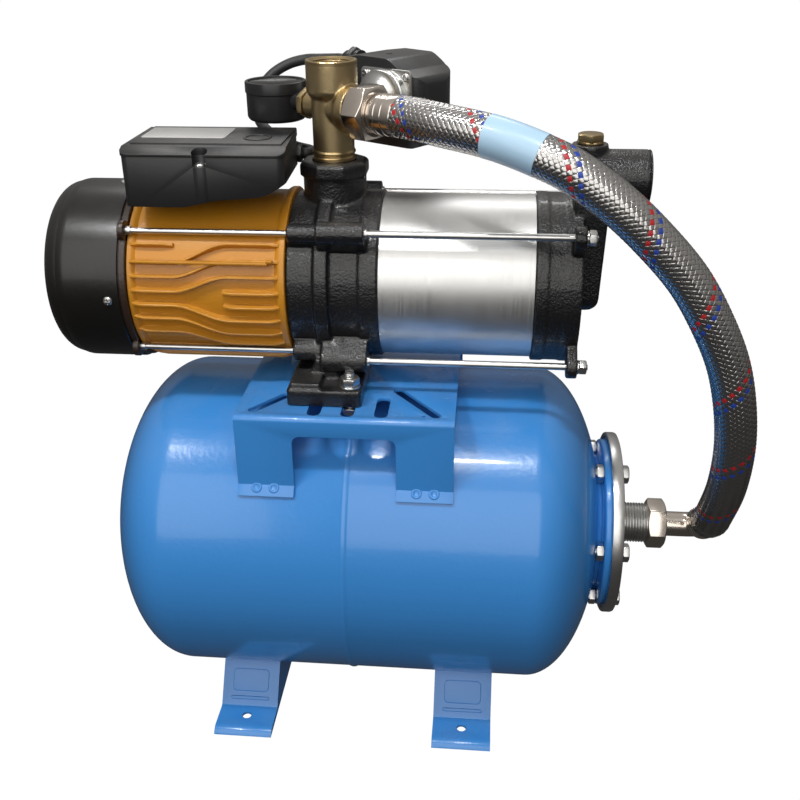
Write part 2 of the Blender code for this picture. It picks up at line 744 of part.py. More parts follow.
def make_feet(paint):
    """Two pressed feet: an upside-down pan on the floor that rises to a saddle under the tank."""
    saddle = TANK_R + GAP
    end = math.degrees(math.acos(LEG_TOP / saddle))
    outer = [(-FOOT_HALF_DEPTH, 0)]
    outer += arc((-TOE_FLAT - 0.004, TOE_HEIGHT - 0.004), 0.004, 165, 90, 3)
    outer += [(-TOE_ROOT, TOE_HEIGHT)]
    outer += arc((0, TANK_Z), saddle, 180 + end, 360 - end, 16)
    outer += [(TOE_ROOT, TOE_HEIGHT)]
    outer += arc((TOE_FLAT + 0.004, TOE_HEIGHT - 0.004), 0.004, 90, 15, 3)
    outer += [(FOOT_HALF_DEPTH, 0)]
    sheet = FOOT_SHEET
    deep = saddle + sheet
    leg_in = LEG_TOP - 0.3 * sheet
    last = math.degrees(math.acos(leg_in / deep))
    below = -0.001
    inner = [(-FOOT_HALF_DEPTH + 1.3 * sheet, below), (-TOE_FLAT - 0.002, TOE_HEIGHT - sheet)]
    inner += [(-TOE_ROOT + sheet * 0.5, TOE_HEIGHT - sheet)]
    inner += arc((0, TANK_Z), deep, 180 + last, 360 - last, 12)
    inner += [(TOE_ROOT - sheet * 0.5, TOE_HEIGHT - sheet), (TOE_FLAT + 0.002, TOE_HEIGHT - sheet)]
    inner += [(FOOT_HALF_DEPTH - 1.3 * sheet, below)]
    half = FOOT_WIDTH / 2
    for name, middle in (("tank_foot_left", -FOOT_X), ("tank_foot_right", FOOT_X)):
        foot = prism(outer, "YZ", middle - half, middle + half)
        hollow = prism(inner, "YZ", middle - half + sheet, middle + half - sheet)
        holes = together([cylinder((middle, side * FOOT_HOLE_Y, -0.001), Z_AXIS, TOE_HEIGHT + 0.002,
                                   FOOT_HOLE_R)
                          for side in (-1, 1)])
        node(name, cut(foot, hollow, holes), paint)


def make_platform(paint):
    """Bent sheet bridge on the tank, with slots for the pump's foot."""
    bend = PLATE_BEND
    saddle = TANK_R + GAP
    depth = PLATE_HALF_DEPTH
    leg_foot = TANK_Z + math.sqrt((saddle + PLATE_SHEET) ** 2 - depth ** 2)
    tab_angle = math.degrees(math.asin((leg_foot - TANK_Z) / (saddle + PLATE_SHEET)))
    span = math.degrees(TAB_LENGTH / saddle)
    path = arc((0, TANK_Z), saddle + PLATE_SHEET, tab_angle - span, tab_angle, 3)
    path += arc((depth - bend, PLATE_TOP - bend), bend, 0, 90, 4)
    mirrored = [(-y, z) for y, z in reversed(path)]
    section = sheet_outline(path + mirrored, PLATE_SHEET)
    half = PLATE_HALF_LENGTH
    plate = prism(section, "YZ", -half, half)
    low = leg_foot - 0.020
    window = rounded(((-WINDOW_HALF, low), (WINDOW_HALF, low), (WINDOW_HALF, WINDOW_TOP),
                      (-WINDOW_HALF, WINDOW_TOP)), (0, 0, WINDOW_CORNER, WINDOW_CORNER))
    opening = prism(window, "XZ", -depth - 0.020, depth + 0.020)
    outlines = []
    inner = SLOT_INNER + SLOT_WIDTH / 2
    outer = SLOT_OUTER - SLOT_WIDTH / 2
    for side in (-1, 1):
        for index in (-1, 0, 1):
            x = SLOT_MIDDLE + SLOT_PITCH * index
            outlines.append(slot((x, side * inner), (x, side * outer), SLOT_WIDTH))
        for start, end in (SLANT_LEFT, SLANT_RIGHT):
            outlines.append(slot((start[0], side * start[1]), (end[0], side * end[1]), SLOT_WIDTH * 0.8))
    slots = together([prism(outline, "XY", PLATE_TOP - PLATE_SHEET - 0.001, PLATE_TOP + 0.001)
                      for outline in outlines])
    node("pump_platform", cut(plate, opening, slots), paint)


def lug(x0, x1, circle, degrees, radius, inner):
    """Return a lug round a tie rod: a round end on straight sides that run into the casting."""
    outline = [(-radius, inner), (radius, inner)]
    outline += arc((0, circle), radius, 0, 180, 4)
    shape = prism(outline, "YZ", x0, x1)
    turn = math.radians(90 - degrees)
    bmesh.ops.rotate(shape, verts=shape.verts, cent=(0, 0, 0), matrix=Matrix.Rotation(turn, 3, "X"))
    bmesh.ops.translate(shape, verts=shape.verts, vec=(0, 0, PUMP_Z))
    return shape


def rod_angles(angle):
    """Return the angles of four rods, in front and behind, above and below."""
    return (angle, -angle, 180 - angle, 180 + angle)


def rod_holes(x0, x1, circle, angle, radius):
    """Return a cutter for four rod holes."""
    return together([cylinder(pump_point(x0, circle, degrees), X_AXIS, x1 - x0, radius, 8)
                     for degrees in rod_angles(angle)])


def make_discharge_body(iron):
    """Casting between motor and stages: barrel, middle rib, rod bosses, port and foot."""
    start = (0, 0, PUMP_Z)
    bulkhead = BODY_BULKHEAD + BODY_BULKHEAD_THICK
    cavity = BODY_R - BODY_WALL
    spigot = SLEEVE_R - SLEEVE_WALL - GAP
    edge = 0.001
    profile = [(BODY_LEFT, cavity), (BODY_LEFT, BODY_R - edge), (BODY_LEFT + edge, BODY_R)]
    profile += [(BODY_RIB[0], BODY_R), (BODY_RIB[0], BODY_RIB_R), (BODY_RIB[1], BODY_RIB_R), (BODY_RIB[1], BODY_R)]
    profile += [(BODY_RIGHT - edge, BODY_R), (BODY_RIGHT, BODY_R - edge), (BODY_RIGHT, spigot)]
    profile += [(BODY_RIGHT + 0.004, spigot), (BODY_RIGHT + 0.004, cavity), (bulkhead, cavity)]
    profile += [(bulkhead, SHAFT_R + 0.002), (BODY_BULKHEAD, SHAFT_R + 0.002), (BODY_BULKHEAD,
                                                                                BEARING_R + GAP)]
    profile += [(BODY_BULKHEAD - BEARING_WIDTH - 0.001, BEARING_R + GAP)]
    profile += [(BODY_BULKHEAD - BEARING_WIDTH - 0.001, BEARING_R + 0.006), (BODY_BULKHEAD,
                                                                             BEARING_R + 0.006)]
    profile += [(BODY_BULKHEAD, cavity)]
    barrel = lathe(profile, start, X_AXIS, ROUND, closed=True)
    lugs = []
    for angle in rod_angles(PUMP_ROD_ANGLE):
        lugs.append(lug(BODY_RIB[0] + 0.004, BODY_RIGHT - 0.008, PUMP_ROD_CIRCLE, angle, LUG_R,
                        BODY_R - 0.006))
    for angle in rod_angles(MOTOR_ROD_ANGLE):
        lugs.append(lug(BODY_LEFT + 0.0015, BODY_RIB[1] - 0.004, MOTOR_ROD_CIRCLE, angle, LUG_R - 0.001,
                        BODY_R - 0.006))
    port_foot = PUMP_Z + BODY_R - 0.006
    port = cylinder((PORT_X, 0, port_foot), Z_AXIS, PORT_TOP - PORT_COLLAR_HEIGHT - port_foot + 0.001,
                    PORT_R, MID_ROUND)
    corner = PORT_COLLAR_FLATS / 2 / math.cos(math.pi / 8)
    bevel = 0.0022
    rise = ((0, PORT_R), (bevel, corner), (PORT_COLLAR_HEIGHT - bevel, corner), (PORT_COLLAR_HEIGHT, corner - bevel))
    collar = lathe(rise, (PORT_X, 0, PORT_TOP - PORT_COLLAR_HEIGHT), Z_AXIS, 8, phase=0.5)
    base_top = PLATE_TOP + GAP + BASE_THICK
    middle = (BODY_RIB[0] + BODY_RIB[1]) / 2
    half = (BODY_RIB[1] - BODY_RIB[0]) / 2
    web_top = PUMP_Z - BODY_R + 0.014
    flare = [(middle - half, web_top), (middle + half, web_top), (middle + half, base_top + 0.018)]
    flare += [(middle + half + 0.009, base_top - 0.002), (middle - half - 0.009, base_top - 0.002)]
    flare += [(middle - half, base_top + 0.018)]
    column = prism(flare, "XZ", -BODY_R, BODY_R)
    base = prism(rounded(((BASE_LEFT, -BASE_HALF_DEPTH), (BASE_RIGHT, -BASE_HALF_DEPTH),
                          (BASE_RIGHT, BASE_HALF_DEPTH), (BASE_LEFT, BASE_HALF_DEPTH)), 0.003, 2),
                 "XY", PLATE_TOP + GAP, base_top)
    step = together([box(BASE_LEFT + 0.003, middle,
                         side * BASE_HALF_DEPTH - 0.014 * (side + 1) - 0.002 * side,
                         side * BASE_HALF_DEPTH + 0.014 * (1 - side) - 0.002 * side, base_top - 0.001,
                         base_top + 0.0045) for side in (-1, 1)])
    body = join(barrel, *lugs, port, collar, column, base, step)
    bore = cylinder((PORT_X, 0, PUMP_Z + cavity + 0.003), Z_AXIS, PORT_TOP - PUMP_Z - cavity,
                    FITTING_R + GAP, MID_ROUND)
    passage = box(bulkhead - 0.0001, bulkhead + 0.014, -0.008, 0.008, PUMP_Z + cavity - 0.012,
                  PUMP_Z + cavity + 0.004)
    pump_rods = rod_holes(BODY_RIGHT - 0.018, BODY_RIGHT, PUMP_ROD_CIRCLE, PUMP_ROD_ANGLE, PUMP_ROD_R + GAP)
    motor_rods = rod_holes(BODY_LEFT - 0.001, BODY_LEFT + 0.012, MOTOR_ROD_CIRCLE, MOTOR_ROD_ANGLE,
                           MOTOR_ROD_R + GAP)
    bolts = together([cylinder((FOOT_BOLT_X, side * FOOT_BOLT_Y, PLATE_TOP), Z_AXIS, BASE_THICK + 0.004,
                               FOOT_BOLT_R + GAP) for side in (-1, 1)])
    node("discharge_body", cut(body, bore, passage, pump_rods, motor_rods, bolts), iron)


def make_sleeve(steel):
    """Bright tube round the stages."""
    profile = ((0, SLEEVE_R - SLEEVE_WALL), (0, SLEEVE_R), (SLEEVE_LENGTH, SLEEVE_R),
               (SLEEVE_LENGTH, SLEEVE_R - SLEEVE_WALL))
    node("pump_sleeve", lathe(profile, (SLEEVE_LEFT, 0, PUMP_Z), X_AXIS, ROUND, closed=True), steel)


def make_suction_body(iron):
    """Casting at the suction end: ring, lug plate, raised chamber, inlet barrel and filling boss."""
    start = (0, 0, PUMP_Z)
    edge = 0.001
    cavity = SLEEVE_R - 0.009
    spigot = SLEEVE_R - SLEEVE_WALL - GAP
    profile = [(RING_LEFT - 0.004, cavity), (RING_LEFT - 0.004, spigot), (RING_LEFT, spigot)]
    profile += [(RING_LEFT, RING_R - edge), (RING_LEFT + edge, RING_R), (LUG_RIGHT - edge, RING_R)]
    profile += [(LUG_RIGHT, RING_R - edge), (LUG_RIGHT, 0), (LUG_RIGHT - 0.008, 0), (LUG_RIGHT - 0.008, cavity)]
    ring = lathe(profile, start, X_AXIS, ROUND, closed=True)
    lugs = [lug(LUG_LEFT, LUG_RIGHT, PUMP_ROD_CIRCLE, angle, LUG_R, RING_R - 0.006)
            for angle in rod_angles(PUMP_ROD_ANGLE)]
    low = PUMP_Z - 0.018
    high = INLET_Z + 0.012
    face = PLUG_X + PLUG_BOSS_R
    side = rounded(((LUG_RIGHT - 0.006, low), (face - 0.002, low), (face + 0.002, high), (LUG_RIGHT - 0.006, high)),
                   (0, 0.012, 0.006, 0))
    chamber = prism(side, "XZ", -CHAMBER_HALF_WIDTH, CHAMBER_HALF_WIDTH)
    corners = together([prism(((across * (CHAMBER_HALF_WIDTH - 0.010), top),
                               (across * CHAMBER_HALF_WIDTH * 1.1, top),
                               (across * CHAMBER_HALF_WIDTH * 1.1,
                                bottom)), "YZ", LUG_RIGHT - 0.010, face + 0.010)
                        for across in (-1, 1)
                        for top, bottom in ((high + 0.001, high - 0.012), (low - 0.001, low + 0.012))])
    chamber = cut(chamber, corners)
    inlet = cylinder((LUG_RIGHT - 0.004, 0, INLET_Z), X_AXIS, INLET_FACE - LUG_RIGHT + 0.004, INLET_R,
                     MID_ROUND)
    boss = cylinder((PLUG_X, 0, INLET_Z), Z_AXIS, PLUG_BOSS_TOP - INLET_Z, PLUG_BOSS_R, MID_ROUND)
    bridge = box(LUG_LEFT + 0.001, LUG_RIGHT - 0.001, -CHAMBER_HALF_WIDTH * 0.8, CHAMBER_HALF_WIDTH * 0.8,
                 PUMP_Z + 0.040, high - 0.002)
    body = join(ring, *lugs, chamber, inlet, boss, bridge)
    bore = cylinder((PLUG_X - 0.006, 0, INLET_Z), X_AXIS, INLET_FACE - PLUG_X + 0.008, INLET_BORE,
                    MID_ROUND)
    duct = box(LUG_RIGHT - 0.012, face - 0.006, -0.013, 0.013, PUMP_Z + 0.004, INLET_Z + 0.004)
    filler = cylinder((PLUG_X, 0, INLET_Z), Z_AXIS, PLUG_BOSS_TOP - INLET_Z + 0.001, PLUG_THREAD_R + GAP,
                      14)
    rods = rod_holes(LUG_LEFT - 0.001, LUG_RIGHT + 0.001, PUMP_ROD_CIRCLE, PUMP_ROD_ANGLE, PUMP_ROD_R + GAP)
    node("suction_body", cut(body, bore, duct, filler, rods), iron)


def make_plug(brass):
    """Hexagonal filling plug."""
    flange = hexagon((PLUG_X, 0, PLUG_BOSS_TOP + GAP), Z_AXIS, PLUG_HEIGHT, PLUG_FLATS, phase=0.5)
    thread = cylinder((PLUG_X, 0, PLUG_BOSS_TOP - 0.010), Z_AXIS, 0.011 + GAP, PLUG_THREAD_R, 14)
    node("priming_plug", join(flange, thread), brass)


def make_tie_rods(steel):
    """Four rods over the stages and four over the motor."""
    nut = 0.0067
    rod_start = BODY_RIGHT - 0.018 + GAP
    for index, angle in enumerate(rod_angles(PUMP_ROD_ANGLE)):
        length = LUG_RIGHT + GAP + nut + 0.0012 - rod_start
        rod = cylinder(pump_point(rod_start, PUMP_ROD_CIRCLE, angle), X_AXIS, length, PUMP_ROD_R, 8)
        hexed = hexagon(pump_point(LUG_RIGHT + GAP, PUMP_ROD_CIRCLE, angle), X_AXIS, nut, PUMP_ROD_FLATS)
        node("pump_tie_rod_%d" % (index + 1), join(rod, hexed), steel)
    left = SHIELD_LEFT + 0.0015 + GAP
    for index, angle in enumerate(rod_angles(MOTOR_ROD_ANGLE)):
        length = BODY_LEFT + 0.012 - GAP - left
        rod = cylinder(pump_point(left, MOTOR_ROD_CIRCLE, angle), X_AXIS, length, MOTOR_ROD_R, 8)
        node("motor_tie_rod_%d" % (index + 1), rod, steel)


def make_foot_bolts(steel):
    """Bolts from below the platform, with a washer and a nut on the pump's foot."""
    base_top = PLATE_TOP + GAP + BASE_THICK
    under = PLATE_TOP - PLATE_SHEET - GAP
    head = BOLT_HEAD
    washer = 0.0016
    nut = 0.0065
    for name, side in (("foot_bolt_front", -1), ("foot_bolt_rear", 1)):
        place = Vector((FOOT_BOLT_X, side * FOOT_BOLT_Y, 0))
        bottom = hexagon(place + Z_AXIS * (under - head), Z_AXIS, head, FOOT_BOLT_FLATS)
        shank = cylinder(place + Z_AXIS * (under - 0.001), Z_AXIS, base_top + washer + nut + 0.005 - under,
                         FOOT_BOLT_R)
        ring = cylinder(place + Z_AXIS * (base_top + GAP), Z_AXIS, washer, 0.0078, MID_ROUND)
        top = hexagon(place + Z_AXIS * (base_top + GAP + washer - 0.0002), Z_AXIS, nut, FOOT_BOLT_FLATS)
        node(name, join(shank, bottom, ring, top), steel)


def rib_path(first, last, x0, x1, radius, side):
    """Return points along a cooling rib that swings from one angle to another between two places."""
    points = []
    count = 6 if abs(last - first) > 1 else 1
    for step in range(count + 1):
        x = x0 + (x1 - x0) * step / count
        blend = min(1.0, max(0.0, (x - RIB_BEND[0]) / (RIB_BEND[1] - RIB_BEND[0])))
        degrees = first + (last - first) * (1 - math.cos(math.pi * blend)) / 2
        points.append(pump_point(x, radius, degrees if side < 0 else 180 - degrees))
    return points


def make_rib(first, last, x0, x1, side):
    """Sweep a flat bar along a rib's path; it stands square to the frame."""
    low = rib_path(first, last, x0, x1, FRAME_R - 0.001, side)
    high = rib_path(first, last, x0, x1, FRAME_R + RIB_HEIGHT, side)
    mesh = bmesh.new()
    rings = []
    for near, far in zip(low, high):
        outward = (far - near).normalized()
        across = X_AXIS.cross(outward).normalized() * RIB_THICK / 2
        corners = (near - across, near + across, far + across * 0.7, far - across * 0.7)
        rings.append([mesh.verts.new(corner) for corner in corners])
    for before, after in zip(rings, rings[1:]):
        for step in range(4):
            following = (step + 1) % 4
            mesh.faces.new((before[step], before[following], after[following], after[step]))
    mesh.faces.new(rings[0])
    mesh.faces.new(rings[-1])
    bmesh.ops.recalc_face_normals(mesh, faces=mesh.faces)
    return mesh


def make_motor_frame(paint):
    """Finned aluminium frame with a seat for the terminal box."""
    length = FRAME_RIGHT - FRAME_LEFT
    inner = FRAME_R - FRAME_WALL
    profile = ((0, inner), (0, FRAME_R), (length, FRAME_R), (length, inner))
    tube = lathe(profile, (FRAME_LEFT, 0, PUMP_Z), X_AXIS, ROUND, closed=True)
    seat_edge = BOX_WAVE[0][1] - 0.013
    seat = prism(((BOX_FRONT, seat_edge), (BOX_FRONT * 0.74, seat_edge - 0.0035), (BOX_FRONT * 0.5, PUMP_Z + inner - 0.010),
                  (BOX_BACK * 0.6, PUMP_Z + inner - 0.002), (BOX_BACK, seat_edge), (BOX_BACK, BOX_TOP),
                  (BOX_FRONT, BOX_TOP)), "YZ", BOX_LEFT - 0.002, FRAME_RIGHT)
    above = prism(BOX_WAVE + ((BOX_WAVE[-1][0], BOX_TOP + 0.01), (BOX_WAVE[0][0], BOX_TOP + 0.01)), "XZ",
                  BOX_FRONT - 0.01, BOX_BACK + 0.01)
    seat = cut(seat, above)
    ribs = [make_rib(*rib, side) for rib in RIBS for side in (-1, 1)]
    frame = join(tube, together(ribs), seat)
    bore = cylinder((FRAME_LEFT - 0.001, 0, PUMP_Z), X_AXIS, length + 0.002, inner, ROUND)
    node("motor_frame", cut(frame, bore), paint)


def make_end_shield(iron):
    """Fan-side end shield with the rear bearing's seat and four lugs."""
    right = FRAME_LEFT - GAP
    rim = COVER_OUTER_R - COVER_WALL - GAP
    inner = FRAME_R - FRAME_WALL
    seat = right - BEARING_WIDTH - 2 * GAP
    hub = BEARING_R + 0.006
    profile = [(right, inner), (right, SHIELD_R), (SHIELD_LEFT, SHIELD_R), (SHIELD_LEFT, rim)]
    profile += [(SHIELD_LEFT - SHIELD_SPIGOT, rim), (SHIELD_LEFT - SHIELD_SPIGOT, rim - 0.004)]
    profile += [(SHIELD_LEFT - 0.004, rim - 0.004), (SHIELD_LEFT - 0.004, hub), (seat - 0.003, hub)]
    profile += [(seat - 0.003, SHAFT_R + 0.0012), (seat, SHAFT_R + 0.0012), (seat, BEARING_R + GAP)]
    profile += [(right, BEARING_R + GAP), (right, hub), (right - 0.003, hub), (right - 0.003, inner)]
    shield = lathe(profile, (0, 0, PUMP_Z), X_AXIS, ROUND, closed=True)
    lugs = [lug(SHIELD_LEFT, right, MOTOR_ROD_CIRCLE, angle, MOTOR_LUG_R, SHIELD_R - 0.008)
            for angle in rod_angles(MOTOR_ROD_ANGLE)]
    holes = rod_holes(SHIELD_LEFT + 0.0015, right + 0.001, MOTOR_ROD_CIRCLE, MOTOR_ROD_ANGLE,
                      MOTOR_ROD_R + GAP)
    node("rear_end_shield", cut(join(shield, *lugs), holes), iron)


def make_fan_cover(paint):
    """Thin cover with a round edge and a grille of slots behind the fan."""
    right = SHIELD_LEFT - GAP
    outer = COVER_OUTER_R
    corner = COVER_CORNER
    profile = [(COVER_LEFT, 0)]
    profile += [(COVER_LEFT + corner * (1 - math.cos(math.radians(angle))),
                 outer - corner * (1 - math.sin(math.radians(angle)))) for angle in (0, 22, 45, 68, 90)]
    profile += [(right, outer), (right, outer - COVER_WALL)]
    profile += [(COVER_LEFT + COVER_WALL + (corner - COVER_WALL) * (1 - math.cos(math.radians(angle))),
                 outer - COVER_WALL - (corner - COVER_WALL) * (1 - math.sin(math.radians(angle))))
                for angle in (90, 60, 30, 0)]
    profile += [(COVER_LEFT + COVER_WALL, 0)]
    cover = lathe(profile, (0, 0, PUMP_Z), X_AXIS, ROUND)
    slots = []
    for index in range(GRILLE_SLOTS):
        bar = box(COVER_LEFT - 0.001, COVER_LEFT + COVER_WALL + 0.001, -GRILLE_SLOT / 2, GRILLE_SLOT / 2,
                  0.30 * outer, outer - corner - 0.002)
        turn = Matrix.Rotation(2 * math.pi * index / GRILLE_SLOTS, 3, "X")
        bmesh.ops.rotate(bar, verts=bar.verts, cent=(0, 0, 0), matrix=turn)
        bmesh.ops.translate(bar, verts=bar.verts, vec=(0, 0, PUMP_Z))
        slots.append(bar)
    node("fan_cover", cut(cover, together(slots)), paint)


def blades(count, x0, x1, inner, outer, thick, lean=0.0):
    """Return flat blades round the pump's axis; the lean turns each away from the radius."""
    made = []
    for index in range(count):
        blade = box(x0, x1, -thick / 2, thick / 2, inner, outer)
        bmesh.ops.rotate(blade, verts=blade.verts, cent=(0, 0, inner), matrix=Matrix.Rotation(lean, 3, "X"))
        turn = Matrix.Rotation(2 * math.pi * index / count, 3, "X")
        bmesh.ops.rotate(blade, verts=blade.verts, cent=(0, 0, 0), matrix=turn)
        bmesh.ops.translate(blade, verts=blade.verts, vec=(0, 0, PUMP_Z))
        made.append(blade)
    return made


def make_rotor(steel, plastic, dull):
    """Everything that turns: shaft, rotor core, fan and impellers."""
    pivot = (0, 0, PUMP_Z)
    edge = 0.0008
    length = SHAFT_RIGHT - SHAFT_LEFT
    profile = ((0, SHAFT_R - edge), (edge, SHAFT_R), (length - edge, SHAFT_R), (length, SHAFT_R - edge))
    node("motor_shaft", lathe(profile, (SHAFT_LEFT, 0, PUMP_Z), X_AXIS, MID_ROUND), steel, pivot)
    bore = SHAFT_R + GAP
    profile = ((CORE_LEFT, bore), (CORE_LEFT, ROTOR_R), (CORE_RIGHT, ROTOR_R), (CORE_RIGHT, bore))
    node("rotor_core", lathe(profile, pivot, X_AXIS, MID_ROUND, closed=True), dull, pivot)
    right = FAN_LEFT + FAN_WIDTH
    hub = SHAFT_R + 0.006
    profile = ((FAN_LEFT + 0.004, bore), (FAN_LEFT + 0.004, hub), (right - 0.002, hub), (right - 0.002, FAN_R * 0.8),
               (right, FAN_R * 0.8), (right, bore))
    disc = lathe(profile, pivot, X_AXIS, MID_ROUND, closed=True)
    wings = blades(FAN_BLADES, FAN_LEFT, right - 0.001, hub - 0.001, FAN_R, 0.002)
    node("cooling_fan", join(disc, together(wings)), plastic, pivot)
    for index in range(STAGE_COUNT):
        left = STAGE_LEFT + STAGE_PITCH * index + STAGE_WALL + 0.0015
        far = left + IMPELLER_WIDTH
        end = STAGE_LEFT + STAGE_PITCH * (index + 1) - GAP
        start = end - STAGE_PITCH + 2 * GAP
        back = ((start, bore), (start, IMPELLER_HUB), (left, IMPELLER_HUB), (left, IMPELLER_R),
                (left + VANE_THICK, IMPELLER_R), (left + VANE_THICK, IMPELLER_HUB), (end, IMPELLER_HUB), (end, bore))
        body = lathe(back, pivot, X_AXIS, MID_ROUND, closed=True)
        front = lathe(((far - VANE_THICK, IMPELLER_EYE), (far - VANE_THICK, IMPELLER_R), (far, IMPELLER_R),
                       (far, IMPELLER_EYE)), pivot, X_AXIS, MID_ROUND, closed=True)
        vanes = blades(VANE_COUNT, left + 0.001, far - 0.001, IMPELLER_EYE - 0.002, IMPELLER_R - 0.004,
                       VANE_THICK,
                       0.5)
        node("impeller_%d" % (index + 1), join(body, together(vanes), front), dull, pivot)


def make_diffusers(steel):
    """A cup for each stage: a wall with guide vanes round the impeller."""
    outer = SLEEVE_R - SLEEVE_WALL - GAP
    for index in range(STAGE_COUNT):
        left = STAGE_LEFT + STAGE_PITCH * index
        right = left + STAGE_PITCH - GAP
        profile = ((left, IMPELLER_HUB + 0.0006), (left, outer), (right, outer), (right, outer - STAGE_WALL),
                   (left + STAGE_WALL, outer - STAGE_WALL), (left + STAGE_WALL, IMPELLER_HUB + 0.0006))
        cup = lathe(profile, (0, 0, PUMP_Z), X_AXIS, ROUND, closed=True)
        guides = blades(VANE_COUNT, left + STAGE_WALL - 0.0005, left + STAGE_WALL + IMPELLER_WIDTH,
                        IMPELLER_R + 0.002,
                        outer - STAGE_WALL + 0.001, VANE_THICK)
        node("diffuser_%d" % (index + 1), join(cup, together(guides)), steel)


def make_motor_insides(dull, copper, steel, ceramic):
    """Stator with its windings, two bearings and the shaft seal."""
    pivot = (0, 0, PUMP_Z)
    outer = FRAME_R - FRAME_WALL - GAP
    inner = ROTOR_R + AIR_GAP
    coil_in = inner + 0.003
    coil_out = outer - 0.004
    profile = ((CORE_LEFT, inner), (CORE_LEFT - WINDING, coil_in), (CORE_LEFT - WINDING, coil_out),
               (CORE_LEFT, outer), (CORE_RIGHT, outer), (CORE_RIGHT + WINDING, coil_out),
               (CORE_RIGHT + WINDING, coil_in), (CORE_RIGHT, inner))
    node("stator_core", lathe(profile, pivot, X_AXIS, ROUND, closed=True), copper)
    bore = SHAFT_R + GAP
    front = BODY_BULKHEAD - GAP - BEARING_WIDTH
    rear = FRAME_LEFT - 2 * GAP - BEARING_WIDTH
    for name, left in (("bearing_front", front), ("bearing_rear", rear)):
        profile = ((left, bore), (left, BEARING_R), (left + BEARING_WIDTH, BEARING_R),
                   (left + BEARING_WIDTH, bore))
        node(name, lathe(profile, pivot, X_AXIS, MID_ROUND, closed=True), steel)
    left = BODY_BULKHEAD + BODY_BULKHEAD_THICK + GAP
    profile = ((left, bore), (left, 0.015), (left + 0.006, 0.015), (left + 0.006, 0.011), (left + 0.014, 0.011),
               (left + 0.014, bore))
    node("mechanical_seal", lathe(profile, pivot, X_AXIS, MID_ROUND, closed=True), ceramic)


def box_outline(inset):
    """Return the terminal box's outline, a little narrower at the back."""
    return rounded(((BOX_LEFT + inset, BOX_FRONT + inset), (BOX_RIGHT - inset, BOX_FRONT + inset),
                    (BOX_RIGHT - BOX_TAPER - inset, BOX_BACK - inset), (BOX_LEFT + inset,
                                                                        BOX_BACK - inset)),
                   0.006 - inset * 0.6, 3)


def make_terminal_box(plastic, lid_plastic, can):
    """Box on the motor's seat, with a wavy lower edge, a gland, a lid and the run capacitor inside."""
    low = BOX_WAVE[0][1] - 0.002
    shell = prism(box_outline(0), "XY", low, BOX_TOP)
    lift = [(x, z + GAP) for x, z in BOX_WAVE]
    below = prism(lift + [(BOX_WAVE[-1][0], low - 0.01), (BOX_WAVE[0][0], low - 0.01)], "XZ",
                  BOX_FRONT - 0.01,
                  BOX_BACK + 0.01)
    hollow = prism(box_outline(BOX_WALL), "XY", BOX_FLOOR, BOX_TOP + 0.002)
    thick = prism(((-0.066, BOX_FLOOR - 0.002), (0, BOX_FLOOR - 0.002), (0, BOX_FLOOR + 0.012),
                   (-0.054, BOX_FLOOR + 0.012)), "XZ", BOX_FRONT - 0.01, BOX_BACK + 0.01)
    hollow = cut(hollow, thick)
    reach = 0.010
    gland = join(cylinder(BOX_GLAND - X_AXIS * reach, X_AXIS, reach, BOX_GLAND_R, 16),
                 hexagon(BOX_GLAND - X_AXIS * 0.0035, X_AXIS, 0.0035, 0.0120, phase=0.5))
    node("terminal_box", cut(join(cut(shell, below), gland), hollow), plastic)
    bottom = BOX_TOP + GAP
    top = bottom + LID_HEIGHT
    block = prism(box_outline(-0.0006), "XY", bottom, top)
    slope = []
    for side, edge, inward in ((-1, BOX_FRONT, LID_CHAMFER), (1, BOX_BACK, LID_CHAMFER * 0.6)):
        slope.append(prism(((edge + side * 0.004, bottom + 0.0012), (edge + side * 0.004, top + 0.002),
                            (edge - side * inward, top + 0.002), (edge - side * inward, top),
                            (edge, bottom + 0.0018)), "YZ", BOX_LEFT - 0.01, BOX_RIGHT + 0.01))
    block = cut(block, together(slope))
    recess = prism(box_outline(BOX_WALL + 0.004), "XY", bottom - 0.001, bottom + 0.0028)
    ring = cylinder((-0.065, -0.026, top - 0.001), Z_AXIS, 0.0018, 0.010, MID_ROUND)
    notch = cylinder((-0.099, BOX_FRONT + 0.0036, bottom + 0.002), Z_AXIS, 0.010, 0.0042, 14)
    node("terminal_lid", cut(join(block, ring), recess, notch), lid_plastic)
    start = (BOX_LEFT + BOX_WALL + 0.004, -0.032, BOX_FLOOR + GAP + CAPACITOR_R)
    node("run_capacitor", cylinder(start, X_AXIS, CAPACITOR_LENGTH, CAPACITOR_R, MID_ROUND), can)


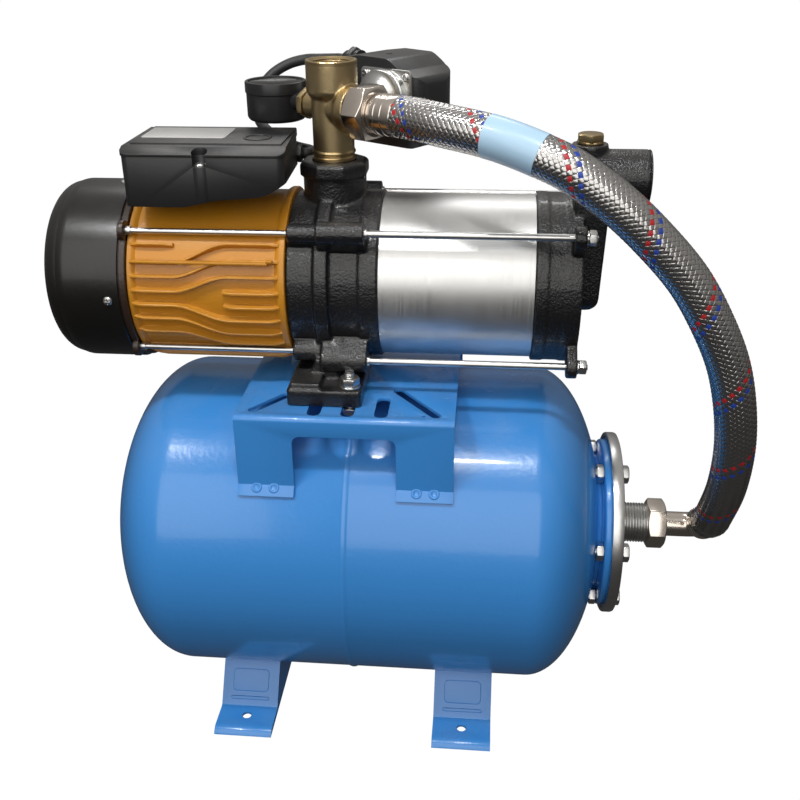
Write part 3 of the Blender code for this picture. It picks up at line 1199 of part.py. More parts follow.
def make_fitting(brass):
    """Brass five-way fitting: thread, body, outlet, arm for the hose, and ports for gauge and switch."""
    low = PORT_TOP - FITTING_THREAD
    collar = PORT_TOP + GAP
    neck = FITTING_TOP - OUTLET_HEIGHT
    body_r = FITTING_R
    profile = ((low, body_r - 0.001), (low + 0.001, body_r), (collar, body_r), (collar, body_r + 0.0011),
               (collar + 0.0025, body_r + 0.0011), (collar + 0.0035, body_r), (collar + 0.0045, body_r),
               (collar + 0.0058, body_r + 0.0009), (collar + 0.0080, body_r), (neck - 0.004, body_r),
               (neck - 0.001, OUTLET_R - 0.0006), (neck, OUTLET_R), (FITTING_TOP - 0.0008, OUTLET_R),
               (FITTING_TOP, OUTLET_R - 0.0008))
    body = lathe(profile, FITTING, Z_AXIS, MID_ROUND)
    centre = fitting_point(0, 0, ARM_Z)
    arm = lathe(((0, body_r - 0.001), (0.012, body_r - 0.001), (0.017, ARM_R), (ARM_LENGTH - 0.0008, ARM_R),
                 (ARM_LENGTH, ARM_R - 0.0008)), centre, ARM, MID_ROUND)
    gauge_port = lathe(((0, GAUGE_PORT_R), (GAUGE_PORT_LENGTH - 0.0006, GAUGE_PORT_R),
                        (GAUGE_PORT_LENGTH, GAUGE_PORT_R - 0.0006)), centre, -ARM, 18)
    switch_port = cylinder(centre, REAR, SWITCH_PORT_LENGTH, SWITCH_PORT_R, 18)
    body = join(body, arm, gauge_port, switch_port)
    top_bore = cylinder(fitting_point(0, 0, neck - 0.006), Z_AXIS, OUTLET_HEIGHT + 0.008, OUTLET_BORE,
                        MID_ROUND)
    through = cylinder(fitting_point(0, 0, low - 0.001), Z_AXIS, neck - low, 0.0112, 18)
    side_bore = cylinder(centre, ARM, ARM_LENGTH + 0.001, STEM_R - 0.0007, 20)
    node("five_way_fitting", cut(body, top_bore, through, side_bore), brass)


def make_gauge(plastic, glass, red, brass):
    """Dial gauge that lies face up, held by a stem into the fitting."""
    centre = fitting_point(-GAUGE_DISTANCE, 0, 0)
    seat = GAUGE_TOP - DIAL_DEPTH
    bezel = GAUGE_TOP - 0.0085
    rim = GAUGE_R - GAUGE_BEZEL
    pin = 0.0007
    profile = ((GAUGE_BOTTOM, 0), (GAUGE_BOTTOM, GAUGE_R - 0.003), (GAUGE_BOTTOM + 0.002, GAUGE_R - 0.0008),
               (bezel, GAUGE_R - 0.0008), (bezel, GAUGE_R), (GAUGE_TOP - 0.001, GAUGE_R),
               (GAUGE_TOP, GAUGE_R - 0.001), (GAUGE_TOP, rim), (seat, rim), (seat, pin), (seat + 0.0014, pin),
               (seat + 0.0014, 0))
    case = lathe(profile, centre, Z_AXIS, 18)
    near = GAUGE_DISTANCE - GAUGE_R + 0.002
    stem = cylinder(fitting_point(-GAUGE_PORT_LENGTH - GAP, 0, ARM_Z), -ARM, near - GAUGE_PORT_LENGTH,
                    0.0065, 16)
    nut = hexagon(fitting_point(-GAUGE_PORT_LENGTH - GAP, 0, ARM_Z), -ARM, 0.0055, 0.0195)
    node("gauge_case", join(case, stem, nut), plastic)
    lens_low = GAUGE_TOP - 0.0006 - LENS_THICK
    lens = lathe(((0, 0), (0, rim - GAP), (LENS_THICK - 0.0004, rim - GAP), (LENS_THICK, rim - 0.0008),
                  (LENS_THICK, 0)), centre + Z_AXIS * lens_low, Z_AXIS, 18)
    node("gauge_lens", lens, glass)
    low = seat + GAP
    high = seat + 0.0013
    hub = lathe(((low, pin + GAP), (low, 0.0026), (high, 0.0026), (high, pin + GAP)), centre, Z_AXIS, 12,
                closed=True)
    outline = ((0.0015, -0.0009), (NEEDLE_LENGTH, -0.0002), (NEEDLE_LENGTH, 0.0002), (0.0015, 0.0009))
    pointer = prism(outline, "XY", low + 0.0003, high - 0.0001)
    tail = prism(((-0.0015, -0.0009), (-0.0015, 0.0009), (-0.006, 0.0014), (-0.006, -0.0014)), "XY",
                 low + 0.0003,
                 high - 0.0001)
    needle = together([pointer, tail])
    bmesh.ops.rotate(needle, verts=needle.verts, cent=(0, 0, 0),
                     matrix=Matrix.Rotation(math.radians(NEEDLE_REST), 3, "Z"))
    bmesh.ops.translate(needle, verts=needle.verts, vec=centre)
    node("gauge_needle", join(hub, needle), red, centre + Z_AXIS * low)


def to_switch(mesh):
    """Move a shape made with X along the arm and Y towards the back onto the fitting's switch port."""
    turn = Matrix((ARM, REAR, Z_AXIS)).transposed()
    bmesh.ops.rotate(mesh, verts=mesh.verts, cent=(0, 0, 0), matrix=turn)
    bmesh.ops.translate(mesh, verts=mesh.verts, vec=fitting_point(0, 0, ARM_Z))
    return mesh


def make_switch(zinc, plastic):
    """Diaphragm flange on the fitting's port, and the switch's cover with its cable gland."""
    start = SWITCH_PORT_LENGTH + GAP
    disc_at = PLATE_AT - 0.010
    profile = ((start, THROAT_R), (disc_at - 0.006, THROAT_R), (disc_at - 0.002, DIAPHRAGM_R * 0.7),
               (disc_at, DIAPHRAGM_R), (PLATE_AT + 0.0005, DIAPHRAGM_R))
    throat = lathe(profile, fitting_point(0, 0, ARM_Z), REAR, MID_ROUND)
    nut = hexagon(fitting_point(0, start, ARM_Z), REAR, 0.008, 0.0215)
    half = DIAPHRAGM_R
    outline = rounded(((-half - 0.006, -half), (half + 0.004, -half), (half + 0.004, half), (-half - 0.006, half)),
                      0.004, 3)
    plate = to_switch(prism(outline, "XZ", PLATE_AT, PLATE_AT + SWITCH_PLATE_THICK))
    node("switch_flange", join(throat, nut, plate), zinc)
    left = SWITCH_LEFT
    right = SWITCH_RIGHT
    outline = [(left, SWITCH_BOTTOM), (right, SWITCH_BOTTOM), (right, SWITCH_TOP - 0.009)]
    outline += [(right - 0.006, SWITCH_TOP - 0.004), (right - 0.030, SWITCH_TOP), (left + 0.030, SWITCH_TOP)]
    outline += [(left + 0.006, SWITCH_TOP - 0.003), (left, SWITCH_TOP - 0.007)]
    radii = (0.003, 0.003, 0.002, 0.004, 0.012, 0.012, 0.004, 0.002)
    far = COVER_AT + COVER_DEPTH
    cover = to_switch(prism(rounded(outline, radii, 3), "XZ", COVER_AT, far))
    entry_t = (COVER_AT + far) / 2
    entry_z = SWITCH_TOP - 0.009
    gland = lathe(((-0.004, GLAND_R), (0.006, GLAND_R), (0.007, 0.0070), (0.014, 0.0060)),
                  fitting_point(left, entry_t, ARM_Z + entry_z), -ARM, 18)
    collar = hexagon(fitting_point(left, entry_t, ARM_Z + entry_z), -ARM, 0.006, 0.0185)
    node("switch_cover", join(cover, gland, collar), plastic)


def make_hose(steel, braid, nickel, black):
    """Braided hose from the fitting's arm to the tank's nipple, with its nuts, tail and elbow."""
    nut_at = ARM_LENGTH + GAP
    centre = fitting_point(0, 0, ARM_Z)
    nut = hexagon(fitting_point(nut_at, 0, ARM_Z), ARM, NUT_LENGTH, NUT_FLATS, 0.5)
    bore = cylinder(fitting_point(nut_at - 0.001, 0, ARM_Z), ARM, NUT_LENGTH + 0.002, STEM_R + GAP,
                    MID_ROUND)
    node("hose_nut_upper", cut(nut, bore), nickel)
    clear = nut_at + NUT_LENGTH + GAP
    end = FERRULE_END
    profile = ((nut_at, STEM_R), (clear, STEM_R), (clear, STEM_R + 0.0020), (clear + 0.0022,
                                                                             STEM_R + 0.0020),
               (clear + 0.0028, FERRULE_R - 0.0008), (clear + 0.0040, FERRULE_R), (end, FERRULE_R))
    node("hose_tail_upper", lathe(profile, centre, ARM, MID_ROUND), nickel)
    elbow_centre = Vector((ELBOW_X, 0, TANK_Z))
    hose_end = elbow_centre + ELBOW_OUT * (ELBOW_REACH + GAP)
    hose_start = fitting_point(end + GAP, 0, ARM_Z)
    first = hose_start + ARM * HOSE_STRAIGHT
    last = hose_end + ELBOW_OUT * HOSE_STRAIGHT
    route = [first] + [Vector(point) for point in HOSE_ROUTE] + [last]
    cord("braided_hose", hose_start, route, hose_end, HOSE_R, HOSE_R * 1.5, braid)
    nipple_end = COVER_FACE + NIPPLE_LENGTH
    nut_left = nipple_end + 0.0045 - LOWER_NUT_LENGTH
    nut_right = nut_left + LOWER_NUT_LENGTH
    lower = hexagon((nut_left, 0, TANK_Z), X_AXIS, LOWER_NUT_LENGTH, LOWER_NUT_FLATS, 0.5)
    wide = cylinder((nut_left - 0.001, 0, TANK_Z), X_AXIS, nipple_end - nut_left + 0.001 + 0.0027,
                    NIPPLE_R + GAP, MID_ROUND)
    narrow = cylinder((nut_left, 0, TANK_Z), X_AXIS, LOWER_NUT_LENGTH + 0.001, ELBOW_R + GAP, MID_ROUND)
    node("hose_nut_lower", cut(lower, wide, narrow), nickel)
    bend = 0.014
    inset = bend * math.tan(math.radians(45))
    begin = elbow_centre - X_AXIS * inset
    finish = elbow_centre + ELBOW_OUT * inset
    path = [Vector((nipple_end + GAP, 0, TANK_Z)), Vector((nipple_end + 0.0022, 0, TANK_Z)),
            Vector((nipple_end + 0.00221, 0, TANK_Z))]
    radii = [NIPPLE_R - 0.0015, NIPPLE_R - 0.0015, ELBOW_R]
    for step in range(6):
        share = step / 5
        path.append(begin.lerp(elbow_centre, share).lerp(elbow_centre.lerp(finish, share), share))
        radii.append(ELBOW_R)
    for reach, radius in ((0.0185, ELBOW_R), (0.0186, ELBOW_R + 0.0015), (0.0210, ELBOW_R + 0.0015),
                          (0.0220, ELBOW_FERRULE_R), (ELBOW_REACH, ELBOW_FERRULE_R)):
        path.append(elbow_centre + ELBOW_OUT * reach)
        radii.append(radius)
    node("hose_elbow", pipe(path, radii, MID_ROUND), nickel)
    gland_end = fitting_point(SWITCH_LEFT - 0.014 - GAP, COVER_AT + COVER_DEPTH / 2,
                              ARM_Z + SWITCH_TOP - 0.009)
    box_end = BOX_GLAND + X_AXIS * GAP
    route = [Vector(point) for point in CABLE_ROUTE] + [gland_end - ARM * CABLE_STRAIGHT]
    cord("switch_cable", box_end, route, gland_end, CABLE_R, CABLE_R * 2.4, black, 2)


def build():
    """Make every piece of the pump set."""
    clear_scene()
    blue = material("tank_blue", (0.05, 0.26, 0.67), 0.3)
    amber = material("motor_amber", (0.72, 0.33, 0.02), 0.35)
    iron = material("cast_black", (0.012, 0.012, 0.013), 0.4)
    bright = material("bright_steel", (0.75, 0.75, 0.73), 0.25, 1.0)
    zinc = material("zinc_steel", (0.55, 0.55, 0.55), 0.4, 1.0)
    brass = material("brass", (0.48, 0.33, 0.13), 0.4, 1.0)
    nickel = material("nickel_brass", (0.68, 0.62, 0.55), 0.25, 1.0)
    plastic = material("black_plastic", (0.014, 0.014, 0.015), 0.45)
    rubber = material("dark_rubber", (0.02, 0.02, 0.02), 0.7)
    glass = material("clear_lens", (0.9, 0.92, 0.93), 0.05)
    red = material("needle_red", (0.55, 0.03, 0.02), 0.5)
    dull = material("dull_steel", (0.32, 0.32, 0.33), 0.5, 1.0)
    copper = material("winding_copper", (0.42, 0.20, 0.10), 0.5, 1.0)
    braid = material("steel_braid", (0.6, 0.58, 0.56), 0.4, 1.0)
    ceramic = material("seal_ceramic", (0.7, 0.68, 0.62), 0.4)
    can = material("capacitor_can", (0.55, 0.56, 0.58), 0.4)
    make_tank(blue)
    make_membrane(rubber)
    make_air_valve(brass, plastic)
    make_counter_flange(zinc)
    make_flange_bolts(zinc)
    make_feet(blue)
    make_platform(blue)
    make_discharge_body(iron)
    make_sleeve(bright)
    make_suction_body(iron)
    make_plug(brass)
    make_tie_rods(zinc)
    make_foot_bolts(zinc)
    make_motor_frame(amber)
    make_end_shield(iron)
    make_fan_cover(iron)
    make_rotor(bright, plastic, dull)
    make_diffusers(bright)
    make_motor_insides(dull, copper, bright, ceramic)
    make_terminal_box(plastic, plastic, can)
    make_fitting(brass)
    make_gauge(plastic, glass, red, brass)
    make_switch(zinc, plastic)
    make_hose(bright, braid, nickel, rubber)


build()
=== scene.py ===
# %% [markdown]
# # Booster pump set
#
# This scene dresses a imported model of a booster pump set: a blue pressure tank on two pressed feet, a
# multistage pump with its motor on a bent sheet bridge, and the brass fitting, gauge, pressure switch and
# braided hose above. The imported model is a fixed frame. Nothing in it is moved. Each piece made here goes
# where that frame says, in metres, and rides on one of its bodies.

import json
import math

import bmesh
import bpy
from mathutils import Matrix, Vector


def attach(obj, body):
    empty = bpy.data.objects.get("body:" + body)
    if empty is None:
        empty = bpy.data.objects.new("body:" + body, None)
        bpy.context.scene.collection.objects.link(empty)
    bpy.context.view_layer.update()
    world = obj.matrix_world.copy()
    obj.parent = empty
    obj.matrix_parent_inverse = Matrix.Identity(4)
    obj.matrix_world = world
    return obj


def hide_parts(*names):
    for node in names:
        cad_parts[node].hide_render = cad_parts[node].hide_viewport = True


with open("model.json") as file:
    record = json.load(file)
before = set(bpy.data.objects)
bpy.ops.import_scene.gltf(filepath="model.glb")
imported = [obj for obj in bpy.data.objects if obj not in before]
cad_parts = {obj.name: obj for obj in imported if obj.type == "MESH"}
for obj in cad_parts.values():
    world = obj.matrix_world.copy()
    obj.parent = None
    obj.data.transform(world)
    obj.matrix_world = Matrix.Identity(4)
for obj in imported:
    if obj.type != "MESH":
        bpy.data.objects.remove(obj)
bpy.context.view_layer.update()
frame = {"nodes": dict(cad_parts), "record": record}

# %% [markdown]
# ## Camera
#
# The camera comes first, because everything is judged through it. Its place, turn and lens were found by
# matching known edges of the set, such as the tank's ends and the bridge's corners. The turn is built
# from three directions, right, down and forward, which is easier to check than three angles.

# %% Camera
PHOTO = 800
EYE = Vector((0.0864, -0.7190, 0.6127))
YAW = math.radians(-5.44)
PITCH = math.radians(26.31)
ROLL = 0.0093
FOCAL_PIXELS = 986.0
CENTRE_PIXEL = (397.5, 399.6)
SENSOR = 36.0

forward = Vector((math.sin(YAW) * math.cos(PITCH), math.cos(YAW) * math.cos(PITCH), -math.sin(PITCH)))
level = Vector((math.cos(YAW), -math.sin(YAW), 0))
below = forward.cross(level)
right = level * math.cos(ROLL) + below * math.sin(ROLL)
down = below * math.cos(ROLL) - level * math.sin(ROLL)
camera_data = bpy.data.cameras.new("camera")
camera_data.sensor_width = SENSOR
camera_data.sensor_fit = "HORIZONTAL"
camera_data.lens = FOCAL_PIXELS / PHOTO * SENSOR
camera_data.shift_x = 0.5 - CENTRE_PIXEL[0] / PHOTO
camera_data.shift_y = CENTRE_PIXEL[1] / PHOTO - 0.5
camera = bpy.data.objects.new("camera", camera_data)
camera.matrix_world = Matrix.Translation(EYE) @ Matrix((right, -down, -forward)).transposed().to_4x4()
bpy.context.scene.collection.objects.link(camera)
bpy.context.scene.camera = camera
print("camera lens: %.1f mm" % camera_data.lens)

# %% [markdown]
# ## Light and backdrop
#
# The light comes from a broad lamp behind the camera and from three strip lamps above the set. The broad
# lamp gives the wide band along the bright sleeve, the two strips in front give the two short streaks on
# the tank, and the third lights the back. All round is a soft gradient, pale above and dark below. A
# white shell that only the camera sees makes the plain background.

# %% Light and backdrop
ROOM_CENTRE = (0, 0, 0.25)
BACKDROP_R = 8.0


def lamp(name, place, width, height, power, colour=(1, 1, 1)):
    """Add a rectangular soft lamp that faces the set."""
    data = bpy.data.lights.new(name, "AREA")
    data.shape = "RECTANGLE"
    data.size = width
    data.size_y = height
    data.energy = power
    data.color = colour
    made = bpy.data.objects.new(name, data)
    made.location = place
    made.rotation_euler = (Vector(ROOM_CENTRE) - Vector(place)).to_track_quat("-Z", "Y").to_euler()
    bpy.context.scene.collection.objects.link(made)
    return made


world = bpy.data.worlds.new("room")
world.use_nodes = True
room = world.node_tree
gradient = room.nodes.new("ShaderNodeMapRange")
gradient.inputs["From Min"].default_value = -0.35
gradient.inputs["From Max"].default_value = 0.75
gradient.inputs["To Min"].default_value = 0.05
gradient.inputs["To Max"].default_value = 0.42
heading = room.nodes.new("ShaderNodeTexCoord")
split = room.nodes.new("ShaderNodeSeparateXYZ")
room.links.new(heading.outputs["Generated"], split.inputs[0])
room.links.new(split.outputs["Z"], gradient.inputs["Value"])
room.links.new(gradient.outputs["Result"], room.nodes["Background"].inputs["Strength"])
room.nodes["Background"].inputs["Color"].default_value = (1.0, 0.97, 0.93, 1)
bpy.context.scene.world = world
bpy.context.scene.view_settings.view_transform = "Standard"
lamp("window", (-0.3, -2.0, 1.30), 2.6, 1.9, 25, (1.0, 0.98, 0.95))
lamp("strip_left", (-0.565, -0.55, 1.60), 0.26, 0.06, 6)
lamp("strip_right", (0.108, -0.55, 1.60), 0.26, 0.06, 6)
lamp("strip_back", (-0.2, 1.2, 1.70), 1.2, 0.20, 6)

backdrop_mesh = bpy.data.meshes.new("backdrop")
shape = bmesh.new()
bmesh.ops.create_icosphere(shape, subdivisions=4, radius=BACKDROP_R)
shape.to_mesh(backdrop_mesh)
shape.free()
backdrop = bpy.data.objects.new("backdrop", backdrop_mesh)
bpy.context.scene.collection.objects.link(backdrop)
white = bpy.data.materials.new("backdrop_white")
white.use_nodes = True
glow = white.node_tree.nodes["Principled BSDF"].inputs
glow["Base Color"].default_value = (0, 0, 0, 1)
glow["Emission Color"].default_value = (1, 1, 1, 1)
glow["Emission Strength"].default_value = 1.0
backdrop_mesh.materials.append(white)
backdrop.visible_diffuse = False
backdrop.visible_glossy = False
backdrop.visible_transmission = False
backdrop.visible_shadow = False
print("lamps:", len(bpy.data.lights), "and a backdrop of radius %.0f m" % BACKDROP_R)

# %% [markdown]
# ## Shared surface effects
#
# Real surfaces share a few effects at different strengths: paint drifts in tone, edges wear bright, dust
# settles on faces that look up, cast metal is pebbled and drawn metal carries fine lines. Each effect is
# one node group that gives a mask, a colour or a height. A material places the groups that it needs with
# its own numbers.

# %% Node helpers


def add(tree, kind, **settings):
    """Add a node and set its options."""
    made = tree.nodes.new(kind)
    for name, value in settings.items():
        setattr(made, name, value)
    return made


def effect(name, inputs, outputs):
    """Start a shader node group with named sockets; give its tree, its input node and its output node."""
    group = bpy.data.node_groups.new(name, "ShaderNodeTree")
    for label, kind, value in inputs:
        socket = group.interface.new_socket(name=label, in_out="INPUT", socket_type="NodeSocket" + kind)
        socket.default_value = value
    for label, kind in outputs:
        group.interface.new_socket(name=label, in_out="OUTPUT", socket_type="NodeSocket" + kind)
    return group, group.nodes.new("NodeGroupInput"), group.nodes.new("NodeGroupOutput")


def chain(tree, kind, value, **numbers):
    """Add a Math node on a value; numbers 'b' and 'c' are its other two inputs."""
    made = add(tree, "ShaderNodeMath", operation=kind)
    tree.links.new(value, made.inputs[0])
    for index, key in enumerate(("b", "c")):
        if key in numbers:
            if hasattr(numbers[key], "node"):
                tree.links.new(numbers[key], made.inputs[index + 1])
            else:
                made.inputs[index + 1].default_value = numbers[key]
    return made.outputs[0]


def noise(tree, scale, detail=3.0, stretch=None):
    """Add a noise on Object coordinates; a scale is a number or a socket."""
    place = add(tree, "ShaderNodeTexCoord").outputs["Object"]
    if stretch is not None:
        mapping = add(tree, "ShaderNodeMapping")
        mapping.inputs["Scale"].default_value = stretch
        tree.links.new(place, mapping.inputs["Vector"])
        place = mapping.outputs["Vector"]
    made = add(tree, "ShaderNodeTexNoise")
    tree.links.new(place, made.inputs["Vector"])
    if hasattr(scale, "node"):
        tree.links.new(scale, made.inputs["Scale"])
    else:
        made.inputs["Scale"].default_value = scale
    made.inputs["Detail"].default_value = detail
    return made.outputs["Fac"]


def ramp(tree, value, low, high):
    """Stretch a value so that low gives 0 and high gives 1."""
    made = add(tree, "ShaderNodeMapRange")
    tree.links.new(value, made.inputs["Value"])
    made.inputs["From Min"].default_value = low
    made.inputs["From Max"].default_value = high
    return made.outputs["Result"]


print("node helpers: add, effect, chain, noise, ramp")

# %% Tone drift, edge wear and dust
tree, given, result = effect("tone_drift", [("Scale", "Float", 12.0), ("Amount", "Float", 0.1)],
                             [("Value", "Float")])
drift = chain(tree, "SUBTRACT", noise(tree, given.outputs["Scale"], 4.0), b=0.5)
drift = chain(tree, "MULTIPLY", drift, b=given.outputs["Amount"])
tree.links.new(chain(tree, "ADD", drift, b=1.0), result.inputs["Value"])

tree, given, result = effect("edge_wear", [("Radius", "Float", 0.0008), ("Breakup", "Float", 90.0),
                                           ("Amount", "Float", 0.5)], [("Mask", "Float")])
bevel = add(tree, "ShaderNodeBevel", samples=4)
tree.links.new(given.outputs["Radius"], bevel.inputs["Radius"])
facing = add(tree, "ShaderNodeNewGeometry")
dot = add(tree, "ShaderNodeVectorMath", operation="DOT_PRODUCT")
tree.links.new(bevel.outputs["Normal"], dot.inputs[0])
tree.links.new(facing.outputs["Normal"], dot.inputs[1])
edge = ramp(tree, dot.outputs["Value"], 0.995, 0.90)
patch = ramp(tree, noise(tree, given.outputs["Breakup"], 6.0), 0.45, 0.62)
mask = chain(tree, "MULTIPLY", chain(tree, "MULTIPLY", edge, b=patch), b=given.outputs["Amount"])
tree.links.new(mask, result.inputs["Mask"])

tree, given, result = effect("settled_dust", [("Scale", "Float", 35.0), ("Amount", "Float", 0.2)],
                             [("Mask", "Float")])
facing = add(tree, "ShaderNodeNewGeometry")
split = add(tree, "ShaderNodeSeparateXYZ")
tree.links.new(facing.outputs["Normal"], split.inputs[0])
upward = ramp(tree, split.outputs["Z"], 0.45, 1.0)
patch = ramp(tree, noise(tree, given.outputs["Scale"], 8.0), 0.35, 0.75)
mask = chain(tree, "MULTIPLY", chain(tree, "MULTIPLY", upward, b=patch), b=given.outputs["Amount"])
tree.links.new(mask, result.inputs["Mask"])
print("effects for tone, wear and dust:", len(bpy.data.node_groups))

# %% Pebble and drawn lines
tree, given, result = effect("pebble", [("Scale", "Float", 400.0), ("Coarse", "Float", 0.4)],
                             [("Height", "Float")])
fine = noise(tree, given.outputs["Scale"], 2.0)
coarse = noise(tree, chain(tree, "MULTIPLY", given.outputs["Scale"], b=0.3), 1.0)
coarse = chain(tree, "MULTIPLY", coarse, b=given.outputs["Coarse"])
tree.links.new(chain(tree, "ADD", fine, b=coarse), result.inputs["Height"])

tree, given, result = effect("drawn_lines", [("Across X", "Float", 900.0)], [("Value", "Float")])
place = add(tree, "ShaderNodeTexCoord")
split = add(tree, "ShaderNodeSeparateXYZ")
tree.links.new(place.outputs["Object"], split.inputs[0])
spread = chain(tree, "MULTIPLY", split.outputs["X"], b=given.outputs["Across X"])
joined = add(tree, "ShaderNodeCombineXYZ")
tree.links.new(spread, joined.inputs["X"])
tree.links.new(chain(tree, "MULTIPLY", split.outputs["Y"], b=6.0), joined.inputs["Y"])
tree.links.new(chain(tree, "MULTIPLY", split.outputs["Z"], b=6.0), joined.inputs["Z"])
lines = add(tree, "ShaderNodeTexNoise")
lines.inputs["Scale"].default_value = 1.0
lines.inputs["Detail"].default_value = 3.0
tree.links.new(joined.outputs["Vector"], lines.inputs["Vector"])
tree.links.new(lines.outputs["Fac"], result.inputs["Value"])
print("effect groups:", ", ".join(group.name for group in bpy.data.node_groups))

# %% [markdown]
# ## Finishes
#
# One function builds every finish from a row of numbers. The tone drifts a little, worn edges show a
# second colour, dust lightens what faces up, and a pebble or a set of drawn lines gives the bump. What is
# the same all over, such as metal or clear coat, goes straight on the shader's own sockets.

# %% Finish builder
DUST = (0.42, 0.40, 0.37, 1)


def place_group(tree, name, **values):
    """Place an effect group with its own values."""
    made = add(tree, "ShaderNodeGroup", node_tree=bpy.data.node_groups[name])
    for label, value in values.items():
        made.inputs[label.replace("_", " ")].default_value = value
    return made.outputs[0]


def mix(tree, mask, first, second):
    """Mix two colours by a mask; a colour is a socket or four numbers."""
    made = add(tree, "ShaderNodeMix", data_type="RGBA")
    tree.links.new(mask, made.inputs[0])
    for index, colour in ((6, first), (7, second)):
        if hasattr(colour, "node"):
            tree.links.new(colour, made.inputs[index])
        else:
            made.inputs[index].default_value = colour
    return made.outputs[2]


def finish(name, colour, roughness, metal=0.0, coat=0.0, drift=0.12, drift_scale=14.0, wear=None,
           wear_amount=0.5, wear_radius=0.0008, dust=0.15, pebble=None, depth=0.0001, lines=None,
           rough_drift=0.25, sockets=()):
    """Build a finish from its colour and the strengths of the shared effects."""
    made = bpy.data.materials.new(name)
    made.use_nodes = True
    tree = made.node_tree
    shader = tree.nodes["Principled BSDF"]
    shader.inputs["Metallic"].default_value = metal
    shader.inputs["Coat Weight"].default_value = coat
    shader.inputs["Coat Roughness"].default_value = 0.06
    for label, value in sockets:
        shader.inputs[label].default_value = value
    tone = place_group(tree, "tone_drift", Scale=drift_scale, Amount=drift)
    base = add(tree, "ShaderNodeVectorMath", operation="SCALE")
    base.inputs[0].default_value = colour
    tree.links.new(tone, base.inputs["Scale"])
    shade = base.outputs["Vector"]
    if wear is not None:
        mask = place_group(tree, "edge_wear", Radius=wear_radius, Amount=wear_amount)
        shade = mix(tree, mask, shade, (*wear, 1))
    gloss = place_group(tree, "tone_drift", Scale=drift_scale * 3.1, Amount=rough_drift)
    gloss = chain(tree, "MULTIPLY", gloss, b=roughness)
    if dust > 0:
        mask = place_group(tree, "settled_dust", Amount=dust)
        shade = mix(tree, mask, shade, DUST)
        gloss = chain(tree, "ADD", gloss, b=chain(tree, "MULTIPLY", mask, b=0.5))
    height = None
    if lines is not None:
        height = place_group(tree, "drawn_lines", Across_X=lines)
        gloss = chain(tree, "ADD", gloss, b=chain(tree, "MULTIPLY", chain(tree, "SUBTRACT", height, b=0.5),
                                                  b=0.25))
    if pebble is not None:
        height = place_group(tree, "pebble", Scale=pebble)
    if height is not None:
        bump = add(tree, "ShaderNodeBump")
        bump.inputs["Distance"].default_value = depth
        bump.inputs["Strength"].default_value = 1.0
        tree.links.new(height, bump.inputs["Height"])
        tree.links.new(bump.outputs["Normal"], shader.inputs["Normal"])
    tree.links.new(shade, shader.inputs["Base Color"])
    tree.links.new(gloss, shader.inputs["Roughness"])
    return made


print("finish builder: places a group, mixes by a mask, builds a finish")

# %% [markdown]
# ## Finishes of this set
#
# Each row is one finish of the real set. The tank's paint has a thin clear coat and a faint pebble, the
# castings a coarser one, and drawn steel gets fine lines instead. Worn edges show a lighter tone of the
# same colour. The numbers were set with a render beside the photograph.

# %% Finishes of this set
TANK_PAINT = finish("tank_paint", (0.045, 0.255, 0.665), 0.24, coat=0.35, drift=0.06, drift_scale=6.0,
                    dust=0.10, wear=(0.10, 0.34, 0.72), wear_amount=0.35, pebble=260.0, depth=0.00012)
MOTOR_PAINT = finish("motor_paint", (0.55, 0.232, 0.015), 0.36, coat=0.15, drift=0.10,
                     wear=(0.78, 0.42, 0.08), wear_amount=0.5, wear_radius=0.0012, pebble=420.0,
                     depth=0.00018, dust=0.06)
PUMP_IRON = finish("pump_iron", (0.008, 0.008, 0.009), 0.30, coat=0.3, drift=0.3, pebble=620.0,
                   depth=0.00065, dust=0.10, wear=(0.05, 0.05, 0.05), wear_amount=0.4)
SHIELD_IRON = finish("shield_iron", (0.030, 0.016, 0.010), 0.35, coat=0.2, pebble=500.0, depth=0.0003,
                     dust=0.05)
COVER_PAINT = finish("cover_paint", (0.007, 0.0065, 0.006), 0.30, coat=0.1, drift=0.2, pebble=300.0,
                     depth=0.00006, dust=0.04)
BRIGHT_STEEL = finish("bright_steel", (0.74, 0.74, 0.73), 0.42, metal=1.0, drift=0.03, lines=2600.0,
                      depth=0.000001, dust=0.0)
ZINC_STEEL = finish("zinc_steel", (0.62, 0.62, 0.61), 0.30, metal=1.0, drift=0.22, drift_scale=160.0,
                    dust=0.04, pebble=900.0, depth=0.00004, wear=(0.85, 0.85, 0.84), wear_amount=0.4)
WHEEL_STEEL = finish("wheel_steel", (0.38, 0.38, 0.39), 0.45, metal=1.0, lines=1200.0, depth=0.00002,
                     dust=0.0)
WINDING = finish("winding", (0.45, 0.20, 0.09), 0.40, metal=0.8, lines=3000.0, depth=0.0001, dust=0.0)
SEAL = finish("seal", (0.70, 0.68, 0.62), 0.35, pebble=500.0, depth=0.00003, dust=0.0)
MEMBRANE = finish("membrane_rubber", (0.02, 0.02, 0.02), 0.65, pebble=300.0, depth=0.0001, dust=0.0)
FITTING_BRASS = finish("fitting_brass", (0.50, 0.385, 0.21), 0.36, metal=1.0, drift=0.18, drift_scale=45.0,
                       pebble=900.0, depth=0.00009, wear=(0.80, 0.66, 0.42), wear_amount=0.6, dust=0.04)
VALVE_BRASS = finish("valve_brass", (0.50, 0.38, 0.20), 0.30, metal=1.0, pebble=800.0, depth=0.00003,
                     dust=0.03)
NICKEL_BRASS = finish("nickel_brass", (0.74, 0.67, 0.60), 0.20, metal=1.0, drift=0.10, drift_scale=60.0,
                      pebble=700.0, depth=0.00003, dust=0.0, wear=(0.90, 0.84, 0.78), wear_amount=0.4)
BOX_PLASTIC = finish("box_plastic", (0.016, 0.016, 0.017), 0.38, drift=0.15, pebble=1500.0, depth=0.00008,
                     dust=0.14, wear=(0.06, 0.06, 0.06), wear_amount=0.4)
